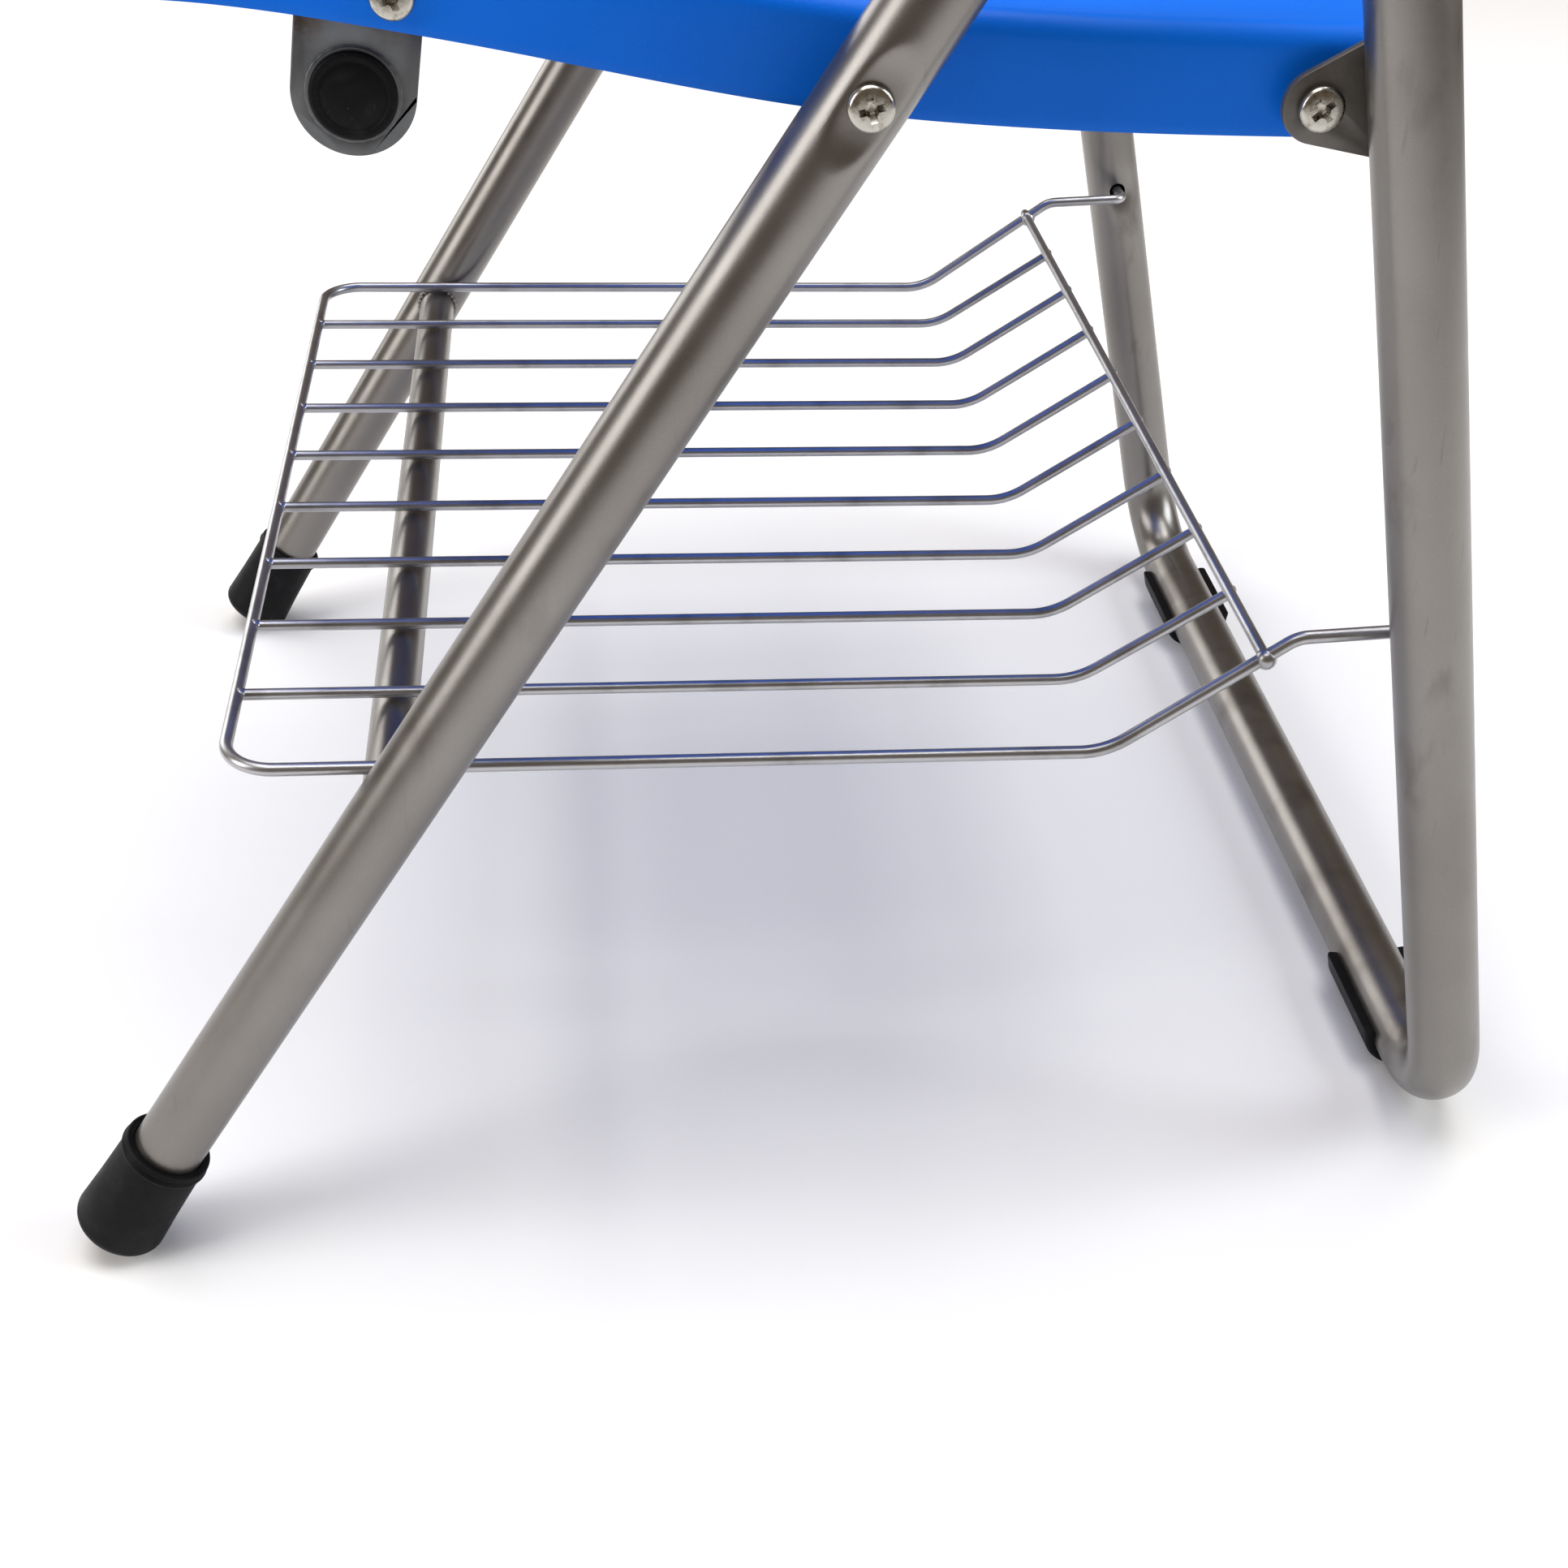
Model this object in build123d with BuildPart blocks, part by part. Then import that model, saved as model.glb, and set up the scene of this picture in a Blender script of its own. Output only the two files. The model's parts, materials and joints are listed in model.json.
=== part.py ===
"""Folding chair with a plastic seat and back, a steel tube frame and a wire book rack.

The origin is on the floor, under the middle of the chair. The sitter faces -Y and +Z is up.
The frame is two bent tubes: an upright front frame and a U of rear legs. The seat turns on the
front legs and carries the rear legs on a second pivot. A pin through the top of each rear leg
runs in a slotted guide plate on the front frame, so that lifting the seat folds the chair flat.
"""

import os
from math import asin, atan2, cos, degrees, hypot, radians, sin, tan

from build123d import *

os.makedirs("parts", exist_ok=True)

# ---------------------------------------------------------------- driving dimensions (mm, degrees)
GAP = 0.35  # least room between pieces that move past each other
RUN = 0.05  # radial clearance of a turning pin

TUBE_R = 12.5
TUBE_WALL = 1.5
FRONT_X = 222.8  # front leg axis from the centre plane
REAR_X = 228.8
FRONT_LEAN = 34.62  # front legs lean back from the vertical
REAR_LEAN = 10.54  # rear legs lean forward
FRONT_Y0 = -251.1  # where the front legs' axes meet the floor
REAR_Y0 = 245.3
BACK_LEAN = 16.0  # upright part above the kink
BACK_BEND_Z = 646.0
BACK_TOP_Z = 774.0
BACK_HALF, BACK_WALL, BACK_CORNER_R = 239.1, 3.5, 74.0
BACK_LOW, BACK_HIGH = -4.0, 150.0  # the panel's ends, up from the kink
BACK_MIDDLE, BACK_SIDES, BACK_BEHIND = 16.5, 26.0, -13.0  # how far the panel stands out, and its skirt
BACK_SCREWS = [(120, 133.2), (222.8, 30.0)]  # x, and height up the back, on each side
BACK_SCREW_R, BACK_SCREW_HEAD_R, BACK_SCREW_HEAD_H, BOSS_R = 1.75, 4.2, 2.6, 6.0

CAP_R, CAP_FLARE_R, CAP_LENGTH, CAP_FLOOR, CAP_ROUND = 15.0, 16.5, 44.0, 6.0, 3.0
GLIDE_R, GLIDE_LENGTH, GLIDE_X = 15.8, 50.0, 160.0
BAR_Z = 15.3  # the glides are worn flat where they stand on the floor

SEAT_SIDE_X = 209.5
SEAT_WALL = 3.0
SEAT_SKIRT = 30.0  # height of the side skirt, top to lower edge
WATERFALL_R, SEAT_REAR_R, SEAT_SIDE_R = 20.0, 10.0, 7.0
RAIL_T, RAIL_FLANGE = 2.5, 16.0
RAIL_LOW, RAIL_HIGH = 2.0, 26.0  # above the seat's lower edge
RAIL_FRONT, RAIL_REAR = -146.4, 171.6
TIE_FRONT, TIE_REAR = 115.6, 139.6
LUG_R, LUG_T, LUG_REACH, CROSS_TUBE_X = 16.7, 2.5, 37.0, 205.0
LUG_TILT = 11.0  # the lugs stand square to the seat's edge
PLUG_DEPTH, PLUG_LIP, PLUG_RIM = 14.0, 1.8, 0.9
SCREW_R, SCREW_HEAD_R, SCREW_HEAD_H = 2.4, 6.0, 3.0
HINGE_NOSE_R, HINGE_X, HINGE_T = 10.3, 213.8, 3.0
HINGE_ABOVE, HINGE_BELOW = 21.0, 17.0  # how far the plate reaches along the leg
SEAT_FRONT_Y, SEAT_REAR_Y = -196.4, 181.6
# lower edge of the seat's side skirt, front to rear: two gentle bends, like a saddle
SEAT_EDGE = [(-202, 431.5), (-146, 427), (-88.4, 415.8), (9.6, 393.2), (83.6, 383.2), (188.6, 375.5)]

PIVOT_Z = 399.5  # seat pivot, on the front leg's axis
REAR_PIVOT = (150.5, 388.5)  # pivot of the rear legs on the seat
REAR_PIN_BELOW_CROSSING = 45.0
CROSS_TUBE = (-110.4, 400.5)
SKIRT_SCREW = (-96.8, 426.6)

CROSSBAR_R, CROSSBAR_WALL = 8.0, 1.2
SPIGOT_R, SPIGOT_LENGTH, SPIGOT_ROOT = 5.0, 4.4, 12.0
CROSSBAR_Z = 176.0
RACK_WIRE_R, OUTER_WIRE_R = 2.0, 2.25
RACK_HALF_WIDTH = 206.8
RACK_WIRES = 10
HOOK_BEND_R, RAMP_TOP_R, RAMP_BEND_R, RACK_CORNER_R = 4.0, 12.0, 26.0, 17.0
RACK_HOOK = (205.5, 213.0)
RACK_BEND = (107.8, 173.5)
RACK_FRONT_Y = -180.7
RACK_RISE = 3.2  # the flat of the rack climbs to the front
ROD_UP_RAMP = 60.5  # the rear rod, up the cranked end of the rack from the bend
HOOK_REACH, HOOK_HOLE_R = 36.6, 4.0
CORNER_R, GLIDE_WRAP, GLIDE_ROUND = 38.0, 2.0, 1.2
END_PLUG_DEPTH, END_PLUG_LIP = 7.0, 2.0

BOLT_R, BOLT_HEAD_R, BOLT_HEAD_H = 3.0, 6.4, 3.2
PIN_R, PIN_HEAD_R, PIN_HEAD_H, PIN_NUT_R, PIN_NUT_H = 4.0, 7.0, 3.6, 7.0, 6.0
PLATE_X, PLATE_T, PLATE_RIM, PLATE_WEB = 211.3, 3.0, 7.5, 30.0
PIN_PLAY = 0.5  # between the pin and the sides of its slot
NUT_R, NUT_H = 5.6, 5.0
WASHER_R, BUSH_R = 9.0, 8.0


# ---------------------------------------------------------------- places worked out from the above
def front_y(z):
    """Y of the front leg's axis at height z."""
    return FRONT_Y0 + z * tan(radians(FRONT_LEAN))


def rear_y(z):
    """Y of the rear leg's axis at height z."""
    return REAR_Y0 - z * tan(radians(REAR_LEAN))


def turned(point, centre, angle):
    """A point (y, z) turned about a centre, y towards z."""
    y, z = point[0] - centre[0], point[1] - centre[1]
    c, s = cos(radians(angle)), sin(radians(angle))
    return (centre[0] + y * c - z * s, centre[1] + y * s + z * c)


UP_FRONT = (sin(radians(FRONT_LEAN)), cos(radians(FRONT_LEAN)))
DOWN_REAR = (sin(radians(REAR_LEAN)), -cos(radians(REAR_LEAN)))
PIVOT = (front_y(PIVOT_Z), PIVOT_Z)
crossing_z = (REAR_Y0 - FRONT_Y0) / (tan(radians(FRONT_LEAN)) + tan(radians(REAR_LEAN)))
CROSSING = (front_y(crossing_z), crossing_z)
PIN = tuple(CROSSING[i] + REAR_PIN_BELOW_CROSSING * DOWN_REAR[i] for i in (0, 1))
REAR_TOP = tuple(CROSSING[i] + (REAR_PIN_BELOW_CROSSING - 13) * DOWN_REAR[i] for i in (0, 1))
BAR_Y = rear_y(BAR_Z)
CROSSBAR = (front_y(CROSSBAR_Z), CROSSBAR_Z)
LEG_INNER_X = FRONT_X - TUBE_R
RAIL_X = SEAT_SIDE_X - SEAT_WALL
rail_inner_x = RAIL_X - RAIL_T

# The fold: the seat lifts about PIVOT until the rear legs lie FOLDED_SPACING behind the front legs.
FOLDED_SPACING = 44.5
arm = (REAR_PIVOT[0] - PIVOT[0], REAR_PIVOT[1] - PIVOT[1])
leg_offset = (rear_y(REAR_PIVOT[1]) - REAR_PIVOT[0]) * cos(radians(REAR_LEAN))
rear_turn = -(FRONT_LEAN + REAR_LEAN)
seat_turn = 90 - FRONT_LEAN - degrees(atan2(arm[1], arm[0]))
seat_turn -= degrees(asin((FOLDED_SPACING - leg_offset) / hypot(*arm)))


def pin_at(share):
    """Where the rear leg's top pin is when the chair is folded by this share."""
    pivot = turned(REAR_PIVOT, PIVOT, seat_turn * share)
    moved = (PIN[0] - REAR_PIVOT[0] + pivot[0], PIN[1] - REAR_PIVOT[1] + pivot[1])
    return turned(moved, pivot, rear_turn * share)


def rack_point(along, up):
    """A point (y, z) along the flat of the rack from its bend, and above its plane."""
    c, s = cos(radians(RACK_RISE)), sin(radians(RACK_RISE))
    return (RACK_BEND[0] - along * c + up * s, RACK_BEND[1] + along * s + up * c)


# ---------------------------------------------------------------- helpers
INWARDS = (Align.CENTER, Align.CENTER, Align.MIN)
UNDER = (Align.CENTER, Align.CENTER, Align.MAX)


def across(side, x, point):
    """Plane with its normal pointing outwards along X, at a (y, z) point."""
    return Plane(origin=(side * x, *point), x_dir=(0, side, 0), z_dir=(side, 0, 0))


def bent_rod(points, radii, radius):
    """A round rod swept along straight runs with rounded corners."""
    with BuildPart(mode=Mode.PRIVATE) as rod:
        with BuildLine() as path:
            FilletPolyline(*points, radius=radii)
        with BuildSketch(Plane(origin=path.line @ 0, z_dir=path.line % 0)):
            Circle(radius)
        sweep(path=path.line)
    return rod.part


def bolt(side, point, tip, head, radius, head_r, head_h):
    """Pan-head bolt along X: its shank runs from tip out to the head's seat."""
    with BuildPart(mode=Mode.PRIVATE) as piece:
        with BuildSketch(across(side, tip, point)):
            Circle(radius)
        extrude(amount=head - tip)
        with BuildSketch(across(side, head, point)):
            Circle(head_r)
        extrude(amount=head_h)
        rim = piece.faces().sort_by(Axis.X)[-1 if side > 0 else 0].edges()
        fillet(rim, head_h * 0.45)
    return piece.part


def ring(side, point, x_from, x_to, radius, bore):
    """Washer or bush along X."""
    with BuildPart(mode=Mode.PRIVATE) as piece:
        with BuildSketch(across(side, x_from, point)):
            Circle(radius)
            Circle(bore, mode=Mode.SUBTRACT)
        extrude(amount=x_to - x_from)
    return piece.part


def nut(side, point, x_from, x_to, corner_r, bore):
    with BuildPart(mode=Mode.PRIVATE) as piece:
        with BuildSketch(across(side, x_from, point)):
            RegularPolygon(corner_r, 6)
            Circle(bore, mode=Mode.SUBTRACT)
        extrude(amount=x_to - x_from)
    return piece.part


def drill(point, radius, x, depth, sides=(1, -1)):
    """Holes along X at a (y, z) point, reaching depth to either side of x."""
    with Locations(*[Location(across(side, x - depth - 1, point)) for side in sides]):
        Cylinder(radius, 2 * depth + 2, align=INWARDS, mode=Mode.SUBTRACT)


def both_sides(points):
    """A path's left-hand points, followed by their mirror images."""
    return points + [(-x, y, z) for x, y, z in reversed(points)]


def save(part, name):
    part.label = name
    export_step(part, f"parts/{name}.step")


def save_group(pieces, name):
    """Identical pieces, written as one node of separate solids."""
    save(Compound(children=list(pieces)), name)


# ---------------------------------------------------------------- front frame
CAP_END_Z = (CAP_FLARE_R - CAP_ROUND) * sin(radians(FRONT_LEAN)) + CAP_ROUND * (1 - UP_FRONT[1])
LEG_START_Z = CAP_END_Z + CAP_FLOOR * UP_FRONT[1]
BACK_UP = (sin(radians(BACK_LEAN)), cos(radians(BACK_LEAN)))
BACK_RUN = (BACK_TOP_Z - BACK_BEND_Z) * tan(radians(BACK_LEAN))
FLAT_DEPTH, FLAT_R = 2.2, 8.0  # the leg is pressed flat under the head of the seat pivot
FLAT_X = FRONT_X + TUBE_R - FLAT_DEPTH

frame_points = both_sides(
    [
        (FRONT_X, front_y(LEG_START_Z), LEG_START_Z),
        (FRONT_X, front_y(BACK_BEND_Z), BACK_BEND_Z),
        (FRONT_X, front_y(BACK_BEND_Z) + BACK_RUN, BACK_TOP_Z),
    ]
)
frame_radii = [120, 60, 60, 120]
frame_rod = bent_rod(frame_points, frame_radii, TUBE_R)
frame_bore = bent_rod(frame_points, frame_radii, TUBE_R - TUBE_WALL)


def back_plane(x, up, out):
    """Plane facing forwards, at a height up the back from its kink and out from the tube's axis."""
    y = front_y(BACK_BEND_Z) + up * BACK_UP[0] - out * BACK_UP[1]
    z = BACK_BEND_Z + up * BACK_UP[1] + out * BACK_UP[0]
    return Plane(origin=(x, y, z), x_dir=(1, 0, 0), z_dir=(0, -BACK_UP[1], BACK_UP[0]))


def press_flats(inset):
    """Press both legs flat at the seat pivot, pushed in by inset for the tube's bore."""
    with Locations(*[Location(across(side, FLAT_X - inset, PIVOT)) for side in (1, -1)]):
        Cone(FLAT_R, FLAT_R + 12, 6, align=INWARDS, mode=Mode.SUBTRACT)


with BuildPart() as inside:
    add(frame_bore)
    press_flats(TUBE_WALL)

with BuildPart() as front_frame_tube:
    add(frame_rod)
    press_flats(0)
    add(inside.part, mode=Mode.SUBTRACT)
    drill(PIVOT, BOLT_R, FRONT_X, TUBE_R)
    drill(CROSSBAR, SPIGOT_R + RUN, LEG_INNER_X, TUBE_R)
    with Locations(*[Location(back_plane(s * x, up, -20)) for x, up in BACK_SCREWS for s in (1, -1)]):
        Cylinder(BACK_SCREW_R, 40, align=INWARDS, mode=Mode.SUBTRACT)
save(front_frame_tube.part, "front_frame_tube")

# the crossbar turns on a spigot in each front leg
crossbar_end = LEG_INNER_X - GAP
with BuildPart() as front_crossbar:
    with BuildSketch(across(1, 0, CROSSBAR)):
        Circle(CROSSBAR_R)
        Circle(CROSSBAR_R - CROSSBAR_WALL, mode=Mode.SUBTRACT)
    extrude(amount=crossbar_end, both=True)
    for side in (1, -1):
        with BuildSketch(across(side, crossbar_end - SPIGOT_ROOT, CROSSBAR)):
            Circle(CROSSBAR_R - CROSSBAR_WALL)
        extrude(amount=SPIGOT_ROOT)
        with BuildSketch(across(side, crossbar_end, CROSSBAR)):
            Circle(SPIGOT_R)
        extrude(amount=SPIGOT_LENGTH)
save(front_crossbar.part, "front_crossbar")

for side, word in ((1, "left"), (-1, "right")):
    end = Plane((side * FRONT_X, front_y(CAP_END_Z), CAP_END_Z), (1, 0, 0), (0, *UP_FRONT))
    with BuildPart() as foot_cap:
        with BuildSketch(end):
            Circle(CAP_FLARE_R)
        with BuildSketch(end.offset(CAP_LENGTH)):
            Circle(CAP_R)
        loft()
        fillet(foot_cap.edges().filter_by(GeomType.CIRCLE).sort_by(Axis.Z)[0], CAP_ROUND)
        with BuildSketch(end.offset(CAP_LENGTH - 3)):
            Circle(CAP_R + 0.9)
        extrude(amount=3)
        with BuildSketch(end.offset(CAP_FLOOR)):
            Circle(TUBE_R)
        extrude(amount=CAP_LENGTH, mode=Mode.SUBTRACT)
    save(foot_cap.part, f"foot_cap_{word}")

# Slotted guide plates for the pins of the rear legs. The slot is the pin's own path.
pin_path = [pin_at(i / 8) for i in range(9)]
web_reach = (PLATE_WEB * UP_FRONT[1], -PLATE_WEB * UP_FRONT[0])


def pin_track(width):
    """The pin's path, widened to width, with round ends."""
    for (y0, z0), (y1, z1) in zip(pin_path, pin_path[1:]):
        turn = degrees(atan2(z1 - z0, y1 - y0))
        with Locations(Location(((y0 + y1) / 2, (z0 + z1) / 2, 0), turn)):
            SlotCenterToCenter(hypot(y1 - y0, z1 - z0), width)


for side, word in ((1, "left"), (-1, "right")):
    face = Plane(origin=(side * PLATE_X, 0, 0), x_dir=(0, 1, 0), z_dir=(1, 0, 0))
    with BuildPart() as guide_plate:
        with BuildSketch(face):
            pin_track(2 * (PIN_R + PIN_PLAY + PLATE_RIM))
            web = [pin_path[0], pin_path[4], pin_path[8]]
            web += [(y - web_reach[0], z - web_reach[1]) for y, z in reversed(web)]
            with BuildLine():
                Polyline(*web, close=True)
            make_face()
        extrude(amount=side * PLATE_T)
        with BuildSketch(face):
            pin_track(2 * (PIN_R + PIN_PLAY))
        extrude(amount=side * PLATE_T, mode=Mode.SUBTRACT)
        add(frame_rod, mode=Mode.SUBTRACT)
    save(guide_plate.solids().sort_by(SortBy.VOLUME)[-1], f"guide_plate_{word}")

# ---------------------------------------------------------------- seat pivots


def seat_pivot_bolt(side):
    return bolt(side, PIVOT, rail_inner_x - NUT_H - 1, FLAT_X, BOLT_R, BOLT_HEAD_R, BOLT_HEAD_H)


save_group([seat_pivot_bolt(side) for side in (1, -1)], "seat_pivot_bolts")
save_group(
    [ring(side, PIVOT, SEAT_SIDE_X + GAP, LEG_INNER_X, WASHER_R, BOLT_R) for side in (1, -1)],
    "seat_pivot_washers",
)
nut_from = rail_inner_x - GAP - NUT_H
save_group(
    [nut(side, PIVOT, nut_from, nut_from + NUT_H, NUT_R, BOLT_R) for side in (1, -1)],
    "seat_pivot_nuts",
)

# ---------------------------------------------------------------- seat
def seat_band(low, high, front, rear):
    """The seat's side outline between two heights above its lower edge."""
    with BuildLine() as outline:
        lower = Spline(*[(y, z + low) for y, z in SEAT_EDGE])
        upper = Spline(*[(y, z + high) for y, z in SEAT_EDGE])
        Line(lower @ 0, upper @ 0)
        Line(lower @ 1, upper @ 1)
    make_face(outline.line)
    with Locations(((front + rear) / 2, 400)):
        Rectangle(rear - front, 200, mode=Mode.INTERSECT)


def extrude_across(low, high, front, rear, x_from, x_to):
    """A piece that follows the seat's side outline, between two X positions."""
    with BuildPart(mode=Mode.PRIVATE) as piece:
        with BuildSketch(Plane.YZ.offset(x_from)):
            seat_band(low, high, front, rear)
        extrude(amount=x_to - x_from)
    return piece.part


def seat_block(inset, drop):
    """The seat's solid outline, rounded at its front and rear, pulled in by inset."""
    half, high = SEAT_SIDE_X - inset, SEAT_SKIRT - inset
    with BuildPart(mode=Mode.PRIVATE) as block:
        with BuildSketch(Plane.YZ.offset(-half)):
            seat_band(-drop, high, SEAT_FRONT_Y + inset, SEAT_REAR_Y - inset)
        extrude(amount=2 * half)
        ends = block.faces().filter_by(GeomType.PLANE).sort_by(Axis.Y)
        fillet(ends[0].edges().sort_by(Axis.Z)[-1], WATERFALL_R - inset)
        ends = block.faces().filter_by(GeomType.PLANE).sort_by(Axis.Y)
        fillet(ends[-1].edges().sort_by(Axis.Z)[-1], SEAT_REAR_R - inset)
    return block.part


def top_edges(face):
    """The long upper edge of a side face, with the rounded ends that lead to it."""
    arcs = face.edges().filter_by(GeomType.CIRCLE)
    long_edges = face.edges().filter_by(lambda e: e.length > 250).sort_by(lambda e: e.center().Z)
    return arcs + ShapeList([long_edges[-1]])


with BuildPart() as seat_shell:
    add(seat_block(0, 0))
    for index in (0, -1):
        fillet(top_edges(seat_shell.faces().filter_by(GeomType.PLANE).sort_by(Axis.X)[index]), SEAT_SIDE_R)
    add(seat_block(SEAT_WALL, 5), mode=Mode.SUBTRACT)
    for point, radius in ((PIVOT, BOLT_R + 0.6), (REAR_PIVOT, BOLT_R), (SKIRT_SCREW, SCREW_R)):
        drill(point, radius, SEAT_SIDE_X, SEAT_SIDE_R)
save(seat_shell.part, "seat_shell")

# the seat's steel frame: an L rail inside each skirt, a cross tube in two lugs, and a rear tie
for side, word in ((1, "left"), (-1, "right")):
    web_x, flange_x = (rail_inner_x, rail_inner_x - RAIL_FLANGE) if side > 0 else (-RAIL_X, -rail_inner_x)
    web_part = extrude_across(RAIL_LOW, RAIL_HIGH, RAIL_FRONT, RAIL_REAR, web_x, web_x + RAIL_T)
    flange_part = extrude_across(
        RAIL_HIGH - RAIL_T, RAIL_HIGH, RAIL_FRONT, RAIL_REAR, flange_x, flange_x + RAIL_FLANGE
    )
    with BuildPart() as seat_rail:
        add(web_part)
        add(flange_part)
        for point, radius in ((PIVOT, BOLT_R + RUN), (REAR_PIVOT, BOLT_R), (SKIRT_SCREW, SCREW_R)):
            drill(point, radius, RAIL_X, RAIL_T, [side])
    save(seat_rail.part, f"seat_rail_{word}")

    # lug that hangs from the rail and holds the end of the cross tube
    with BuildPart() as cross_tube_lug:
        with BuildSketch(across(side, rail_inner_x - LUG_T, CROSS_TUBE)):
            Circle(LUG_R)
            with BuildLine():
                strap = [(-LUG_R, 0), (LUG_R, 0), (LUG_R, LUG_REACH), (-LUG_R, LUG_REACH)]
                Polyline(*[turned(corner, (0, 0), -side * LUG_TILT) for corner in strap], close=True)
            make_face()
            Circle(TUBE_R, mode=Mode.SUBTRACT)
        extrude(amount=LUG_T)
        drill(SKIRT_SCREW, SCREW_R, rail_inner_x, LUG_T, [side])
        add(flange_part, mode=Mode.SUBTRACT)
    save(cross_tube_lug.solids().sort_by(SortBy.VOLUME)[-1], f"cross_tube_lug_{word}")

    # plug in the open end of the cross tube
    with BuildPart() as cross_tube_plug:
        with BuildSketch(across(side, CROSS_TUBE_X - PLUG_DEPTH, CROSS_TUBE)):
            Circle(TUBE_R - TUBE_WALL)
        extrude(amount=PLUG_DEPTH)
        with BuildSketch(across(side, CROSS_TUBE_X, CROSS_TUBE)):
            Circle(TUBE_R - PLUG_RIM)
        extrude(amount=PLUG_LIP)
        fillet(cross_tube_plug.faces().sort_by(Axis.X)[-1 if side > 0 else 0].edges(), 1.2)
    save(cross_tube_plug.part, f"cross_tube_plug_{word}")

with BuildPart() as seat_cross_tube:
    with BuildSketch(across(1, 0, CROSS_TUBE)):
        Circle(TUBE_R)
        Circle(TUBE_R - TUBE_WALL, mode=Mode.SUBTRACT)
    extrude(amount=CROSS_TUBE_X, both=True)
save(seat_cross_tube.part, "seat_cross_tube")

tie_top = RAIL_HIGH - RAIL_T
tie = extrude_across(tie_top - RAIL_T, tie_top, TIE_FRONT, TIE_REAR, -rail_inner_x, rail_inner_x)
save(tie, "seat_rear_tie")

screw = (rail_inner_x - LUG_T - 3, SEAT_SIDE_X, SCREW_R, SCREW_HEAD_R, SCREW_HEAD_H)
save_group([bolt(side, SKIRT_SCREW, *screw) for side in (1, -1)], "seat_skirt_screws")

# rear pivots: the bolt and its bush belong to the seat, and the rear leg's plate turns on the bolt
rear_bolt = (rail_inner_x - NUT_H - 1, HINGE_X + HINGE_T + GAP, BOLT_R, BOLT_HEAD_R, BOLT_HEAD_H)
save_group([bolt(side, REAR_PIVOT, *rear_bolt) for side in (1, -1)], "rear_pivot_bolts")
save_group(
    [ring(side, REAR_PIVOT, SEAT_SIDE_X, HINGE_X - GAP, BUSH_R, BOLT_R) for side in (1, -1)],
    "rear_pivot_bushes",
)
save_group(
    [nut(side, REAR_PIVOT, rail_inner_x - NUT_H, rail_inner_x, NUT_R, BOLT_R) for side in (1, -1)],
    "rear_pivot_nuts",
)

# ---------------------------------------------------------------- rear frame
rear_points = both_sides([(REAR_X, *REAR_TOP), (REAR_X, BAR_Y, BAR_Z)])
rear_rod = bent_rod(rear_points, CORNER_R, TUBE_R)
rear_bore = bent_rod(rear_points, CORNER_R, TUBE_R - TUBE_WALL)

with BuildPart() as rear_frame_tube:
    add(rear_rod)
    add(rear_bore, mode=Mode.SUBTRACT)
    drill(PIN, PIN_R, REAR_X, TUBE_R)
    drill(RACK_HOOK, HOOK_HOLE_R, REAR_X - TUBE_R, 4)
save(rear_frame_tube.part, "rear_frame_tube")

for side, word in ((1, "left"), (-1, "right")):
    # plate welded to the inside of the leg, with a round nose on the pivot
    top_z, bottom_z = REAR_PIVOT[1] + HINGE_ABOVE, REAR_PIVOT[1] - HINGE_BELOW
    nose_top = turned((REAR_PIVOT[0], REAR_PIVOT[1] + HINGE_NOSE_R), REAR_PIVOT, 30)
    nose_bottom = turned((REAR_PIVOT[0], REAR_PIVOT[1] - HINGE_NOSE_R), REAR_PIVOT, -12)
    with BuildPart() as hinge_plate:
        with BuildSketch(Plane(origin=(side * HINGE_X, 0, 0), x_dir=(0, 1, 0), z_dir=(1, 0, 0))):
            with Locations(REAR_PIVOT):
                Circle(HINGE_NOSE_R)
            with BuildLine():
                Polyline(
                    nose_top, (rear_y(top_z), top_z), (rear_y(bottom_z), bottom_z), nose_bottom, close=True
                )
            make_face()
            with Locations(REAR_PIVOT):
                Circle(BOLT_R + RUN, mode=Mode.SUBTRACT)
        extrude(amount=side * HINGE_T)
        add(rear_rod, mode=Mode.SUBTRACT)
    save(hinge_plate.solids().sort_by(SortBy.VOLUME)[-1], f"hinge_plate_{word}")

    # half-round glide clipped under the floor bar
    with BuildPart() as floor_glide:
        with BuildSketch(across(side, GLIDE_X - GLIDE_LENGTH / 2, (BAR_Y, BAR_Z))):
            Circle(GLIDE_R)
            Circle(TUBE_R, mode=Mode.SUBTRACT)
            with Locations((0, GLIDE_R + GLIDE_WRAP)):
                Rectangle(3 * GLIDE_R, 2 * GLIDE_R, mode=Mode.SUBTRACT)
        extrude(amount=GLIDE_LENGTH)
        rims = floor_glide.edges().filter_by(GeomType.CIRCLE).sort_by(SortBy.RADIUS)[-2:]
        fillet(rims, GLIDE_ROUND)
        with Locations((side * GLIDE_X, BAR_Y, 0)):
            Box(2 * GLIDE_LENGTH, 3 * GLIDE_R, 4, align=UNDER, mode=Mode.SUBTRACT)
    save(floor_glide.part, f"floor_glide_{word}")

    # plug in the leg's top end
    upwards = (0, -DOWN_REAR[0], -DOWN_REAR[1])
    with BuildPart() as leg_top_plug:
        top = Plane((side * REAR_X, *REAR_TOP), (1, 0, 0), upwards)
        with BuildSketch(top.offset(-END_PLUG_DEPTH)):
            Circle(TUBE_R - TUBE_WALL)
        extrude(amount=END_PLUG_DEPTH)
        with BuildSketch(top):
            Circle(TUBE_R)
        extrude(amount=END_PLUG_LIP)
        fillet(leg_top_plug.faces().sort_by(Axis(top.origin, top.z_dir))[-1].edges(), 1.5)
    save(leg_top_plug.part, f"leg_top_plug_{word}")

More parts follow.
